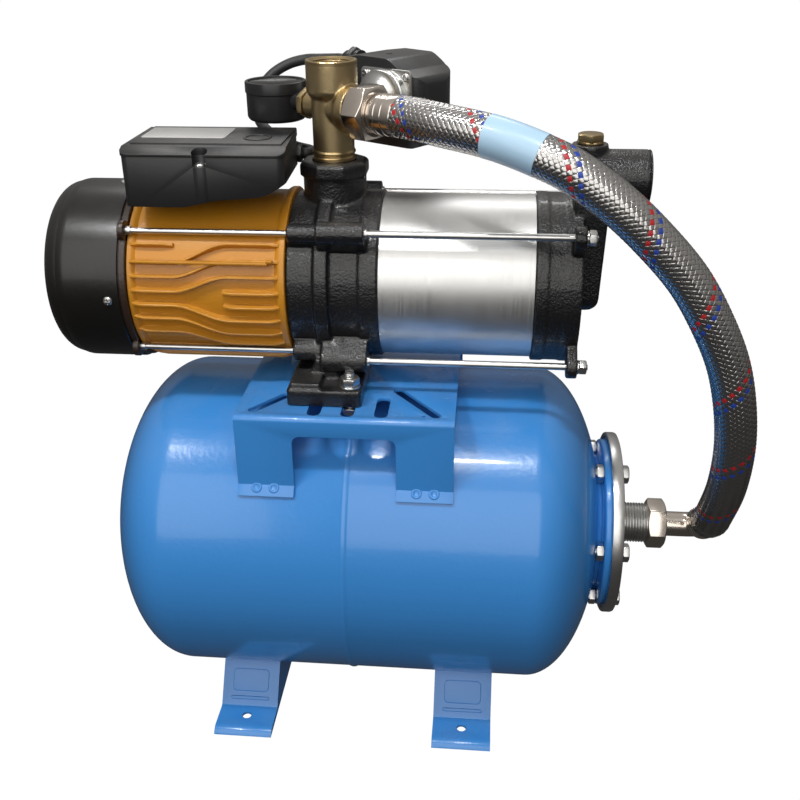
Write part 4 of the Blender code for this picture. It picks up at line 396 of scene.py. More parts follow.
CAP_PLASTIC = finish("cap_plastic", (0.018, 0.018, 0.019), 0.45, pebble=1200.0, depth=0.00008, dust=0.08)
GAUGE_PLASTIC = finish("gauge_plastic", (0.014, 0.014, 0.015), 0.30, pebble=1100.0, depth=0.00004,
                       dust=0.08)
SWITCH_PLASTIC = finish("switch_plastic", (0.022, 0.022, 0.023), 0.32, pebble=900.0, depth=0.0001,
                        dust=0.10, wear=(0.07, 0.07, 0.07), wear_amount=0.3)
FAN_PLASTIC = finish("fan_plastic", (0.016, 0.016, 0.017), 0.5, pebble=900.0, depth=0.00005, dust=0.1)
CAPACITOR_CAN = finish("capacitor_can", (0.55, 0.56, 0.58), 0.35, pebble=700.0, depth=0.00003, dust=0.0)
CABLE_RUBBER = finish("cable_rubber", (0.018, 0.018, 0.019), 0.50, pebble=900.0, depth=0.0001, dust=0.08)
NEEDLE_PAINT = finish("needle_paint", (0.55, 0.03, 0.02), 0.45, pebble=900.0, depth=0.00001, dust=0.0)
PLATE_GREY = finish("plate_grey", (0.50, 0.50, 0.49), 0.35, metal=0.4, drift=0.12, drift_scale=60.0,
                    pebble=900.0, depth=0.00003, dust=0.10)
DIAL_WHITE = finish("dial_white", (0.80, 0.80, 0.78), 0.55, pebble=900.0, depth=0.00001, dust=0.0)
INK_BLACK = finish("ink_black", (0.02, 0.02, 0.02), 0.5, pebble=900.0, depth=0.00001, dust=0.0)
print("materials so far:", len(bpy.data.materials))

# %% [markdown]
# ## Clear window and hidden parts
#
# A clear window needs no drift, dust or pebble, so its glass is given its values one by one. Every node of
# the packed model also gets a finish here, by its slot, so that the parts inside look right when the set is
# opened.

# %% Glass, and finishes for the imported model
GAUGE_GLASS = bpy.data.materials.new("gauge_glass")
GAUGE_GLASS.use_nodes = True
glass_shader = GAUGE_GLASS.node_tree.nodes["Principled BSDF"]
glass_shader.inputs["Base Color"].default_value = (0.96, 0.98, 0.98, 1)
glass_shader.inputs["Roughness"].default_value = 0.03
glass_shader.inputs["IOR"].default_value = 1.45
glass_shader.inputs["Transmission Weight"].default_value = 1.0

BY_SLOT = {"tank_paint": TANK_PAINT, "membrane_rubber": MEMBRANE, "valve_brass": VALVE_BRASS,
           "cap_plastic": CAP_PLASTIC, "zinc_steel": ZINC_STEEL, "pump_iron": PUMP_IRON,
           "shield_iron": SHIELD_IRON, "cover_paint": COVER_PAINT, "motor_paint": MOTOR_PAINT,
           "bright_steel": BRIGHT_STEEL, "wheel_steel": WHEEL_STEEL, "winding": WINDING, "seal": SEAL,
           "fan_plastic": FAN_PLASTIC, "box_plastic": BOX_PLASTIC, "capacitor_can": CAPACITOR_CAN,
           "fitting_brass": FITTING_BRASS, "gauge_plastic": GAUGE_PLASTIC, "gauge_lens": GAUGE_GLASS,
           "needle_paint": NEEDLE_PAINT, "switch_plastic": SWITCH_PLASTIC, "nickel_brass": NICKEL_BRASS,
           "steel_braid": BRIGHT_STEEL, "cable_rubber": CABLE_RUBBER}
slot_of = {entry["node"]: entry["material_slot"] for entry in frame["record"]["subparts"]}
for name, item in frame["nodes"].items():
    item.data.materials.clear()
    item.data.materials.append(BY_SLOT[slot_of[name]])
print("finishes:", len(BY_SLOT))

# %% [markdown]
# ## Shape helpers
#
# Most pieces of the set are turned, extruded or pressed. A profile is turned about an axis, an outline is
# extruded, and a few Boolean steps cut the holes. A bevel then takes the sharpness off each edge, because
# a real edge always catches a thin line of light. Castings are remeshed and smoothed instead, which
# rounds their inner corners too. Shapes are laid out from the tank's weld seam, and each finished piece
# moves to the frame's own origin.

# %% Turned bodies and bars
X_AXIS = Vector((1, 0, 0))
Z_AXIS = Vector((0, 0, 1))
FINE = 96
MEDIUM = 48
SMALL = 24
GAP = 0.0003
SEAM = Vector((-0.012, 0, 0))


def basis(axis):
    """Return a turn that takes local Z to the axis and local X upwards, or to +X for an upright axis."""
    third = Vector(axis).normalized()
    guide = X_AXIS if abs(third.z) > 0.9 else Z_AXIS
    first = (guide - third * guide.dot(third)).normalized()
    return Matrix((first, third.cross(first), third)).transposed()


def moved(mesh, shift):
    """Move a mesh by a shift."""
    bmesh.ops.translate(mesh, verts=mesh.verts, vec=shift)


def swung(mesh, angle, axis, centre=(0, 0, 0)):
    """Turn a mesh about an axis through a centre."""
    bmesh.ops.rotate(mesh, verts=mesh.verts, cent=centre, matrix=Matrix.Rotation(angle, 3, axis))


def turned(profile, start, axis, sides=FINE, closed=False, phase=0.0):
    """Turn (distance, radius) points about an axis that leaves the start point."""
    mesh = bmesh.new()
    turn = basis(axis)
    rings = []
    for along, radius in profile:
        count = 1 if radius < 1e-7 else sides
        ring = []
        for step in range(count):
            angle = 2 * math.pi * (step + phase) / sides
            local = Vector((radius * math.cos(angle), radius * math.sin(angle), along))
            ring.append(mesh.verts.new(Vector(start) + turn @ local))
        rings.append(ring)
    pairs = list(zip(rings, rings[1:])) + ([(rings[-1], rings[0])] if closed else [])
    for low, high in pairs:
        for step in range(sides):
            after = (step + 1) % sides
            corners = (low[step % len(low)], low[after % len(low)], high[after % len(high)],
                       high[step % len(high)])
            corners = list(dict.fromkeys(corners))
            if len(corners) > 2:
                mesh.faces.new(corners)
    if not closed:
        for ring in (rings[0], rings[-1]):
            if len(ring) > 1:
                mesh.faces.new(ring)
    bmesh.ops.recalc_face_normals(mesh, faces=mesh.faces)
    return mesh


def rod(start, axis, length, radius, sides=SMALL):
    """Return a plain round bar."""
    return turned(((0, radius), (length, radius)), start, axis, sides)


def hexagon(start, axis, length, flats, phase=0.0, crown=0.0009):
    """Return a hexagonal bar whose corners are turned down at both ends, as on a nut."""
    corner = flats / math.sqrt(3)
    bar = turned(((0, corner), (length, corner)), start, axis, 6, phase=phase)
    cone = turned(((-0.0001, corner - crown * 1.9), (crown, corner + 0.0001),
                   (length - crown, corner + 0.0001), (length + 0.0001, corner - crown * 1.9)), start, axis,
                  MEDIUM)
    return boolean(bar, [cone], "INTERSECT")


print("a plain bar has", len(rod((0, 0, 0), X_AXIS, 0.02, 0.005).faces), "faces")

# %% [markdown]
# ## Outlines and extrusions
#
# Flat shapes start as an outline, a list of points in one plane. Corners are rounded in the outline
# itself, where an exact radius is easy, and the outline is then extruded along the third axis. A bent
# sheet is the outline of its path, offset by the sheet's thickness.

# %% Outlines and extrusions


def extruded(outline, plane, near, far):
    """Extrude an outline given in the XY, XZ or YZ plane along the third axis."""
    first, second, third = {"XY": (0, 1, 2), "XZ": (0, 2, 1), "YZ": (1, 2, 0)}[plane]
    mesh = bmesh.new()
    layers = []
    for depth in (near, far):
        layer = []
        for across, up in outline:
            point = [0.0, 0.0, 0.0]
            point[first], point[second], point[third] = across, up, depth
            layer.append(mesh.verts.new(point))
        layers.append(layer)
        mesh.faces.new(layer)
    for step in range(len(outline)):
        after = (step + 1) % len(outline)
        mesh.faces.new((layers[0][step], layers[0][after], layers[1][after], layers[1][step]))
    bmesh.ops.recalc_face_normals(mesh, faces=mesh.faces)
    return mesh


def block(x0, x1, y0, y1, z0, z1):
    """Return a block between two corners."""
    return extruded(((x0, y0), (x1, y0), (x1, y1), (x0, y1)), "XY", z0, z1)


def rounded(points, radius, steps=8):
    """Round the corners of a closed outline; the radius is one value or one for each corner."""
    radii = radius if isinstance(radius, (list, tuple)) else [radius] * len(points)
    outline = []
    for index, corner in enumerate(points):
        corner = Vector(corner)
        before = (Vector(points[index - 1]) - corner).normalized()
        after = (Vector(points[(index + 1) % len(points)]) - corner).normalized()
        if radii[index] <= 0:
            outline.append(tuple(corner))
            continue
        half = before.angle(after) / 2
        reach = radii[index] / math.tan(half)
        centre = corner + (before + after).normalized() * radii[index] / math.sin(half)
        first = corner + before * reach - centre
        last = corner + after * reach - centre
        sweep = first.angle(last)
        for step in range(steps + 1):
            share = step / steps
            ray = (first * math.sin((1 - share) * sweep) + last * math.sin(share * sweep)) / math.sin(sweep)
            outline.append(tuple(centre + ray))
    return outline


def arc(centre, radius, first, last, steps):
    """Return points on an arc; angles in degrees."""
    angles = [math.radians(first + (last - first) * step / steps) for step in range(steps + 1)]
    return [(centre[0] + radius * math.cos(angle), centre[1] + radius * math.sin(angle))
            for angle in angles]


def slot(start, end, width, steps=8):
    """Return the outline of a slot with round ends."""
    base = math.degrees(math.atan2(end[1] - start[1], end[0] - start[0]))
    return arc(end, width / 2, base - 90, base + 90, steps) + arc(start, width / 2, base + 90, base + 270,
                                                                  steps)


def sheet_outline(path, thickness):
    """Return the outline of a sheet that lies to the left of an open path."""
    path = [Vector(point) for point in path]
    left = []
    for index, point in enumerate(path):
        before = point - path[max(index - 1, 0)]
        after = path[min(index + 1, len(path) - 1)] - point
        before = before.normalized() if before.length > 0 else after.normalized()
        after = after.normalized() if after.length > 0 else before
        normal = Vector((-(before + after).y, (before + after).x)).normalized()
        share = max(normal.dot(Vector((-before.y, before.x))), 0.5)
        left.append(point + normal * thickness / share)
    return [tuple(point) for point in path] + [tuple(point) for point in reversed(left)]


print("a rounded square has", len(rounded(((0, 0), (1, 0), (1, 1), (0, 1)), 0.2)), "points")

# %% [markdown]
# ## Boolean steps, soft edges and castings
#
# Blender's modifiers do the heavy work. A shape becomes an object for a moment, the modifier is
# evaluated, and the result is read back as a plain mesh, so that no live modifier is left on a finished
# piece. The exact solver is slower than the fast one and copes with faces that touch.

# %% Boolean steps, soft edges and castings


def together(meshes):
    """Put shapes that don't touch into one mesh."""
    joined = bmesh.new()
    for part in meshes:
        held = bpy.data.meshes.new("held")
        part.to_mesh(held)
        joined.from_mesh(held)
        bpy.data.meshes.remove(held)
        part.free()
    return joined


def loose_object(mesh, name="loose"):
    """Make an object from a mesh, to run modifiers on it."""
    data = bpy.data.meshes.new(name)
    mesh.to_mesh(data)
    mesh.free()
    made = bpy.data.objects.new(name, data)
    bpy.context.scene.collection.objects.link(made)
    return made


def baked(item):
    """Return the evaluated mesh of an object as a bmesh, and remove the object."""
    result = bmesh.new()
    result.from_object(item, bpy.context.evaluated_depsgraph_get())
    bpy.data.objects.remove(item, do_unlink=True)
    return result


def boolean(body, tools, operation):
    """Join tools to a body, or cut them from it, one after the other."""
    for tool in tools:
        base = loose_object(body)
        other = loose_object(tool)
        step = base.modifiers.new("step", "BOOLEAN")
        step.operation = operation
        step.solver = "EXACT"
        step.object = other
        body = baked(base)
        bpy.data.objects.remove(other, do_unlink=True)
        bmesh.ops.remove_doubles(body, verts=body.verts, dist=1e-6)
        bmesh.ops.dissolve_degenerate(body, edges=body.edges, dist=1e-6)
    return body


def join(body, *tools):
    """Union shapes into one body."""
    return boolean(body, tools, "UNION")


def cut(body, *tools):
    """Cut shapes from a body."""
    return boolean(body, tools, "DIFFERENCE")


def softened(mesh, width, segments=2, angle=28):
    """Round the edges of a mesh that are sharper than an angle."""
    item = loose_object(mesh)
    step = item.modifiers.new("edges", "BEVEL")
    step.width = width
    step.segments = segments
    step.limit_method = "ANGLE"
    step.angle_limit = math.radians(angle)
    step.miter_outer = "MITER_ARC"
    return baked(item)


def cast(mesh, voxel, rounds):
    """Remesh a shape finely and smooth it, which gives the soft corners of a casting."""
    item = loose_object(mesh)
    step = item.modifiers.new("skin", "REMESH")
    step.mode = "VOXEL"
    step.voxel_size = voxel
    step = item.modifiers.new("soften", "SMOOTH")
    step.factor = 0.5
    step.iterations = rounds
    return baked(item)


print("a softened block has", len(softened(block(0, 1, 0, 1, 0, 1), 0.1).faces), "faces")

# %% [markdown]
# ## Finished pieces
#
# Every finished piece takes the same last steps: it moves to the frame's origin, gets its one material
# and its shading, rides on a body and hides the nodes of the imported model that it stands for.

# %% Finished pieces


def piece(name, mesh, material, nodes=(), body="set", sharp=32):
    """Turn a mesh into a finished piece that rides on a body and stands for the named nodes."""
    moved(mesh, SEAM)
    data = bpy.data.meshes.new(name)
    mesh.to_mesh(data)
    mesh.free()
    made = bpy.data.objects.new(name, data)
    bpy.context.scene.collection.objects.link(made)
    return ready(made, material, nodes, body, sharp)


def ready(made, material, nodes=(), body="set", sharp=32):
    """Shade a mesh object, give it its finish, let it ride on its body and hide the nodes it stands for."""
    made.data.materials.clear()
    made.data.materials.append(material)
    for face in made.data.polygons:
        face.material_index = 0
    made.data.shade_smooth()
    if sharp is not None:
        made.data.set_sharp_from_angle(angle=math.radians(sharp))
    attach(made, body)
    if nodes:
        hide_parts(*nodes)
    print("%s: %d faces" % (made.name, len(made.data.polygons)))
    return made


# %% [markdown]
# ## Copies about an axis
#
# Bolts, rods, ribs and slots repeat round the tank or the pump. A Geometry Nodes tree sets one copy of a
# piece on each point of a small mesh and turns it by the point's own angle. The tree ends in real
# geometry with its material, and its result is kept as a plain mesh, so that nothing depends on live
# modifiers.

# %% Copies tree
copies = bpy.data.node_groups.new("copies_about_x", "GeometryNodeTree")
for label, kind in (("Geometry", "Geometry"), ("Piece", "Object"), ("Finish", "Material"),
                    ("Size", "Float")):
    copies.interface.new_socket(name=label, in_out="INPUT", socket_type="NodeSocket" + kind)
copies.interface.new_socket(name="Geometry", in_out="OUTPUT", socket_type="NodeSocketGeometry")
given = copies.nodes.new("NodeGroupInput")
result = copies.nodes.new("NodeGroupOutput")
source = add(copies, "GeometryNodeObjectInfo")
turn_read = add(copies, "GeometryNodeInputNamedAttribute", data_type="FLOAT")
turn_read.inputs["Name"].default_value = "turn"
turn_vector = add(copies, "ShaderNodeCombineXYZ")
placed = add(copies, "GeometryNodeInstanceOnPoints")
solid = add(copies, "GeometryNodeRealizeInstances")
coloured = add(copies, "GeometryNodeSetMaterial")
copies.links.new(given.outputs["Piece"], source.inputs["Object"])
copies.links.new(turn_read.outputs["Attribute"], turn_vector.inputs["X"])
copies.links.new(given.outputs["Geometry"], placed.inputs["Points"])
copies.links.new(source.outputs["Geometry"], placed.inputs["Instance"])
copies.links.new(turn_vector.outputs["Vector"], placed.inputs["Rotation"])
copies.links.new(given.outputs["Size"], placed.inputs["Scale"])
copies.links.new(placed.outputs["Instances"], solid.inputs["Geometry"])
copies.links.new(solid.outputs["Geometry"], coloured.inputs["Geometry"])
copies.links.new(given.outputs["Finish"], coloured.inputs["Material"])
copies.links.new(coloured.outputs["Geometry"], result.inputs["Geometry"])
print("copies tree:", len(copies.nodes), "nodes")


def repeated(shape, spots, material, size=1.0):
    """Return one bmesh with a copy of a shape at each (place, turn in degrees)."""
    source_piece = loose_object(shape, "pattern_piece")
    points = bpy.data.meshes.new("spots")
    points.from_pydata([tuple(place) for place, _ in spots], [], [])
    angles = points.attributes.new("turn", "FLOAT", "POINT")
    for entry, (_, degrees) in zip(angles.data, spots):
        entry.value = math.radians(degrees)
    holder = bpy.data.objects.new("spots", points)
    bpy.context.scene.collection.objects.link(holder)
    step = holder.modifiers.new("copies", "NODES")
    step.node_group = copies
    values = {"Piece": source_piece, "Finish": material, "Size": size}
    for item in copies.interface.items_tree:
        if item.name in values and item.in_out == "INPUT":
            step[item.identifier] = values[item.name]
    evaluated = holder.evaluated_get(bpy.context.evaluated_depsgraph_get())
    plain = bpy.data.meshes.new_from_object(evaluated)
    mesh = bmesh.new()
    mesh.from_mesh(plain)
    bpy.data.meshes.remove(plain)
    holder.modifiers.remove(step)
    bpy.data.objects.remove(holder, do_unlink=True)
    bpy.data.objects.remove(source_piece, do_unlink=True)
    return mesh


# %% [markdown]
# ## Tank
#
# The tank is two pressed halves that overlap in one seam weld at the middle, with a flanged neck at the
# right. A turned profile gives the true form of such a shell. The domes are ellipses, so their points
# come from a formula, and the seam is a low bead with a step beside it.

# %% Tank
TANK_R = 0.130
TANK_Z = 0.147
TANK_LEFT = -0.136
TANK_RIGHT = 0.140
DOME_LEFT = 0.066
DOME_RIGHT = 0.060
FLANGE_X = 0.1985
FLANGE_FACE = 0.2055


def dome(base, depth, radius, first_radius, last_radius, steps=28):
    """Return points on an elliptical dome between two radii."""
    first = math.acos(min(1, first_radius / radius))
    last = math.acos(min(1, last_radius / radius))
    return [(base + depth * math.sin(first + (last - first) * step / steps),
             radius * math.cos(first + (last - first) * step / steps)) for step in range(steps + 1)]


profile = [(TANK_LEFT - DOME_LEFT + 0.0016, 0.0046)] + dome(TANK_LEFT, -DOME_LEFT, TANK_R, 0.0046, TANK_R)
profile += [(-0.0032, TANK_R), (-0.0026, TANK_R + 0.0005), (-0.0008, TANK_R + 0.0010),
            (0.0010, TANK_R + 0.0008), (0.0022, TANK_R + 0.0002), (0.0030, TANK_R)]
profile += dome(TANK_RIGHT, DOME_RIGHT, TANK_R, TANK_R, 0.066)
shoulder = profile[-1][0]
profile += [(shoulder + 0.0010, 0.0595), (shoulder + 0.0022, 0.0573), (shoulder + 0.0042, 0.0560),
            (shoulder + 0.0072, 0.0555), (FLANGE_X - 0.0022, 0.0555), (FLANGE_X - 0.0008, 0.0563),
            (FLANGE_X, 0.0585), (FLANGE_X, 0.0687), (FLANGE_X + 0.0008, 0.0695),
            (FLANGE_FACE - 0.0008, 0.0695), (FLANGE_FACE, 0.0687), (FLANGE_FACE, 0.0450),
            (FLANGE_X - 0.004, 0.0450)]
shell = turned(profile, (0, 0, TANK_Z), X_AXIS, 160, closed=True)
piece("tank_body", shell, TANK_PAINT, ["tank_shell"], sharp=None)
print("tank: %.0f mm across" % (2000 * TANK_R))

# %% [markdown]
# ## Valve cap
#
# The air valve sits at the tank's left pole under a screwed plastic cap. A turned cup gives the cap, and
# 24 thin ridges round its rim give the grip, copied about the tank's axis.

# %% Valve cap
POLE = TANK_LEFT - DOME_LEFT
profile = [(0.0009, 0.0047), (0.0009, 0.0080), (0.0022, 0.0095), (0.0026, 0.0117), (0.0032, 0.0120),
           (0.0066, 0.0120), (0.0076, 0.0115), (0.0080, 0.0105), (0.0080, 0.0), (0.0067, 0.0),
           (0.0067, 0.0047)]
cap = turned(profile, (POLE, 0, TANK_Z), -X_AXIS, 72, closed=True)
grip = rod((POLE - 0.0032, 0, 0.0120), -X_AXIS, 0.0034, 0.0004, 8)
grips = repeated(grip, [((0, 0, TANK_Z), 15 * index) for index in range(24)], CAP_PLASTIC)
piece("valve_dust_cap", together([cap, grips]), CAP_PLASTIC, ["valve_cap"])

# %% [markdown]
# ## Flange, nipple and bolts
#
# A galvanised disc closes the tank's neck. Its rim is pressed back round the blue flange, six bolts hold
# it, and a threaded nipple is welded in its middle. The thread is a run of ridges on the turned profile,
# which reads as a thread from any side without a true helix.

# %% Counter flange
FACE = 0.2123
profile = [(0.2058, 0.0170), (0.2058, 0.0725), (0.2034, 0.0727), (0.2032, 0.0745), (0.2036, 0.0753),
           (0.2046, 0.0757), (FACE - 0.0020, 0.0757), (FACE - 0.0006, 0.0751), (FACE, 0.0737),
           (FACE, 0.0560), (FACE - 0.0005, 0.0545), (FACE - 0.0005, 0.0300), (FACE, 0.0285), (FACE, 0.0170)]
disc = turned(profile, (0, 0, TANK_Z), X_AXIS, 160, closed=True)
piece("flange_disc", disc, ZINC_STEEL, ["counter_flange"], sharp=40)

# %% Nipple
THREAD_PITCH = 0.00231
profile = [(0.2059, 0.0125), (0.2059, 0.01665), (0.2140, 0.01665), (0.2146, 0.0160)]
along = 0.2150
while along < 0.2488:
    profile += [(along, 0.01535), (along + THREAD_PITCH * 0.42, 0.01665),
                (along + THREAD_PITCH * 0.58, 0.01665)]
    along += THREAD_PITCH
profile += [(0.2500, 0.01535), (0.2504, 0.0145), (0.2504, 0.0125)]
nipple = turned(profile, (0, 0, TANK_Z), X_AXIS, 72, closed=True)
piece("threaded_nipple", nipple, ZINC_STEEL, ["flange_nipple"], sharp=20)

# %% Flange bolts
BOLT_CIRCLE = 0.0625
head = softened(hexagon((FACE + GAP, 0, BOLT_CIRCLE), X_AXIS, 0.0053, 0.013), 0.00025)
mark = turned(((0, 0.0046), (0.0002, 0.0046), (0.0002, 0.0)), (FACE + 0.0056, 0, BOLT_CIRCLE), X_AXIS,
              SMALL)
shank = rod((FLANGE_X - 0.0080, 0, BOLT_CIRCLE), X_AXIS, FACE - FLANGE_X + 0.0084, 0.0039)
nut = softened(hexagon((FLANGE_X - 0.0063, 0, BOLT_CIRCLE), X_AXIS, 0.0060, 0.013), 0.00025)
bolt = together([head, mark, shank, nut])
angles = [10 + 60 * index for index in range(6)]
bolts = repeated(bolt, [((0, 0, TANK_Z), 90 - angle) for angle in angles], ZINC_STEEL)
piece("flange_bolt_ring", bolts, ZINC_STEEL,
      ["flange_bolt_%d" % (index + 1) for index in range(6)])

# %% [markdown]
# ## Feet
#
# Each foot is one pressed pan, open below. Its sides go down to the floor, its toes have round lips, and
# a saddle carries the tank. The pressing leaves a raised panel and two ridges on each leg. The pan is cut
# from an extruded outline, and a wide bevel turns the cut edges into pressed ones.

# %% Feet
FOOT_X = 0.0905
FOOT_HALF = 0.024
SHEET = 0.0025


def foot_outline(drop):
    """Return the side view of a foot, or of its hollow when the drop is the sheet's thickness."""
    radius = TANK_R + GAP + drop
    leg = 0.071 - 0.3 * drop
    first = math.degrees(math.acos(leg / radius))
    side = [(0.123 - 1.3 * drop, -drop * 0.4), (0.1215 - drop, 0.0022 - drop),
            (0.1195 - drop, 0.0040 - drop), (0.1170 - drop, 0.0049 - drop), (0.1150, 0.0050 - drop),
            (0.0955 - 0.5 * drop, 0.0050 - drop), (0.0938 - 0.5 * drop, 0.0056 - drop)]
    saddle = arc((0, TANK_Z), radius, 360 - first, 180 + first, 40)
    return side + saddle + [(-y, z) for y, z in reversed(side)]


for name, middle in (("left", -FOOT_X), ("right", FOOT_X)):
    foot = extruded(foot_outline(0), "YZ", middle - FOOT_HALF, middle + FOOT_HALF)
    hollow = extruded([(y, z - 0.002 if z < 0 else z) for y, z in foot_outline(SHEET)], "YZ",
                      middle - FOOT_HALF + SHEET, middle + FOOT_HALF - SHEET)
    holes = together([rod((middle, side * 0.104, -0.002), Z_AXIS, 0.010, 0.0038, 32) for side in (-1, 1)])
    foot = softened(cut(foot, hollow, holes), 0.0011, 3, 35)
    slope = math.atan2(0.0316, 0.0230)
    raised = []
    for side in (-1, 1):
        panel = extruded(rounded(((-0.0155, -0.0095), (0.0155, -0.0095), (0.0155, 0.0095),
                                  (-0.0155, 0.0095)), 0.004), "XY", -0.0012, 0.0008)
        ridge = extruded(slot((-0.0150, -0.0148), (0.0150, -0.0148), 0.0030), "XY", -0.0012, 0.0009)
        for shape in (panel, ridge):
            shape = softened(shape, 0.0007, 3)
            swung(shape, slope, "X")
            moved(shape, (middle, -0.0812, 0.0228))
            if side > 0:
                swung(shape, math.pi, "Z", (middle, 0, 0))
            raised.append(shape)
    piece("pressed_foot_" + name, together([foot] + raised), TANK_PAINT,
          ["tank_foot_" + name])

# %% [markdown]
# ## Platform
#
# The pump stands on a bridge bent from blue sheet. Its top has slots for the pump's foot, each long side
# has a window, and four tabs lie on the tank, each held by two spot welds. The section of the bend is
# extruded and the openings are cut from it. The welds are small dimples that repeat, so they are copies
# of one turned shape.

# %% Platform
PLATE_TOP = 0.2886
DEPTH = 0.102
BEND = 0.004
WELD_PLACES = (-0.066, -0.053, 0.053, 0.066)
saddle = TANK_R + GAP
leg_foot = TANK_Z + math.sqrt((saddle + SHEET) ** 2 - DEPTH ** 2)
tab_angle = math.degrees(math.asin((leg_foot - TANK_Z) / (saddle + SHEET)))
span = math.degrees(0.0085 / saddle)
path = arc((0, TANK_Z), saddle + SHEET, tab_angle - span, tab_angle, 8)
path += arc((DEPTH - BEND, PLATE_TOP - BEND), BEND, 0, 90, 12)
section = sheet_outline(path + [(-y, z) for y, z in reversed(path)], SHEET)
plate = extruded(section, "YZ", -0.080, 0.080)
window = rounded(((-0.038, leg_foot - 0.02), (0.038, leg_foot - 0.02), (0.038, 0.2735), (-0.038, 0.2735)),
                 (0, 0, 0.006, 0.006))
outlines = []
for side in (-1, 1):
    for index in (-1, 0, 1):
        x = 0.002 + 0.0245 * index
        outlines.append(slot((x, side * 0.069), (x, side * 0.092), 0.010))
    for start, end in (((-0.067, 0.0905), (-0.048, 0.0655)), ((0.036, 0.052), (0.066, 0.0905))):
        outlines.append(slot((start[0], side * start[1]), (end[0], side * end[1]), 0.008))
slots = together([extruded(outline, "XY", PLATE_TOP - 0.004, PLATE_TOP + 0.001) for outline in outlines])
marker = rod((0.0576, -0.092, PLATE_TOP - 0.004), Z_AXIS, 0.006, 0.0014)
plate = cut(plate, extruded(window, "XZ", -0.125, 0.125), slots, marker)
plate = softened(plate, 0.0005, 2, 40)
dimple = turned(((-0.0006, 0.0042), (0.0002, 0.0040), (0.0007, 0.0034), (0.0007, 0.0026), (0.0002, 0.0020),
                 (-0.0002, 0.0)), (0, 0, 0), Z_AXIS, SMALL)
welds = []
for side in (-1, 1):
    for x in WELD_PLACES:
        angle = math.radians(tab_angle - span * 0.25)
        weld = dimple.copy()
        swung(weld, math.pi / 2 - angle, "X")
        reach = saddle + SHEET + 0.0001
        moved(weld, (x, -reach * math.cos(angle), TANK_Z + reach * math.sin(angle)))
        if side > 0:
            swung(weld, math.pi, "Z", (x, 0, 0))
        welds.append(weld)
dimple.free()
piece("bridge_sheet", together([plate] + welds), TANK_PAINT, ["pump_platform"])
print("platform: 4 tabs, %d welds" % len(welds))

# %% [markdown]
# ## Pump castings
#
# Two black castings hold the bright sleeve between them. Each is a union of turned and extruded shapes,
# with the lugs for the tie rods. A fine remesh and a little smoothing then round every inner and outer
# corner at once, as a sand casting has them. The port's collar is eight-sided and the foot flares out
# from a middle web.

# %% Discharge casting
PUMP_Z = 0.364
BODY_LEFT = -0.0443
BODY_RIGHT = 0.0216
BODY_R = 0.0615
CAVITY_R = 0.0515
PORT_X = -0.0148
PORT_TOP = 0.451
ROD_CIRCLE = 0.076
ROD_ANGLE = 39.4
MOTOR_ROD_CIRCLE = 0.0673
MOTOR_ROD_ANGLE = 42
LUG_LEFT = 0.1582
LUG_RIGHT = 0.1662
FOOT_THICK = 0.0124
FOOT_TOP = PLATE_TOP + GAP + FOOT_THICK
FOOT_BOLT = (0.002, 0.0735)


def around(x, radius, degrees):
    """Return a point beside the pump's axis; the angle runs from the front upwards."""
    angle = math.radians(degrees)
    return Vector((x, -radius * math.cos(angle), PUMP_Z + radius * math.sin(angle)))


def four(angle):
    """Return the angles of four rods, in front and behind, above and below."""
    return (angle, -angle, 180 - angle, 180 + angle)


def lug(x0, x1, circle, degrees, radius, inner):
    """Return a lug round a tie rod: a round end on straight sides that run into the casting."""
    outline = [(-radius, inner), (radius, inner)] + arc((0, circle), radius, 0, 180, 14)
    shape = extruded(outline, "YZ", x0, x1)
    swung(shape, math.radians(90 - degrees), "X")
    moved(shape, (0, 0, PUMP_Z))
    return shape


profile = ((BODY_LEFT, CAVITY_R), (BODY_LEFT, BODY_R), (-0.0245, BODY_R), (-0.0240, 0.0655),
           (-0.0140, 0.0655), (-0.0135, BODY_R), (0.0080, BODY_R), (0.0085, BODY_R + 0.0016),
           (BODY_RIGHT, BODY_R + 0.0016 - 0.0002), (BODY_RIGHT, 0.0591), (0.0256, 0.0591),
           (0.0256, CAVITY_R), (-0.0120, CAVITY_R), (-0.0120, 0.0092), (-0.0220, 0.0092),
           (-0.0220, CAVITY_R))
shapes = [lug(-0.0205, BODY_RIGHT - 0.008, ROD_CIRCLE, angle, 0.0084, BODY_R - 0.006)
          for angle in four(ROD_ANGLE)]
shapes += [lug(BODY_LEFT + 0.0015, -0.0175, MOTOR_ROD_CIRCLE, angle, 0.0074, BODY_R - 0.006)
           for angle in four(MOTOR_ROD_ANGLE)]
shapes.append(rod((PORT_X, 0, PUMP_Z + BODY_R - 0.006), Z_AXIS, PORT_TOP - 0.004 - PUMP_Z - BODY_R + 0.006,
                  0.0232, 64))
corner = 0.02425 / math.cos(math.pi / 8)
collar = turned(((0, 0.0232), (0.0022, corner), (0.0098, corner), (0.0120, corner - 0.0022)),
                (PORT_X, 0, PORT_TOP - 0.012), Z_AXIS, 8, phase=0.5)
shapes.append(collar)
web = -0.019
flare = [(web - 0.0055, PUMP_Z - BODY_R + 0.014), (web + 0.0055, PUMP_Z - BODY_R + 0.014)]
flare += [(web + 0.0055, FOOT_TOP + 0.018), (web + 0.0075, FOOT_TOP + 0.010),
          (web + 0.0110, FOOT_TOP + 0.003)]
flare += [(web + 0.0145, FOOT_TOP - 0.002), (web - 0.0145, FOOT_TOP - 0.002),
          (web - 0.0110, FOOT_TOP + 0.003)]
flare += [(web - 0.0075, FOOT_TOP + 0.010), (web - 0.0055, FOOT_TOP + 0.018)]
shapes.append(extruded(flare, "XZ", -BODY_R, BODY_R))
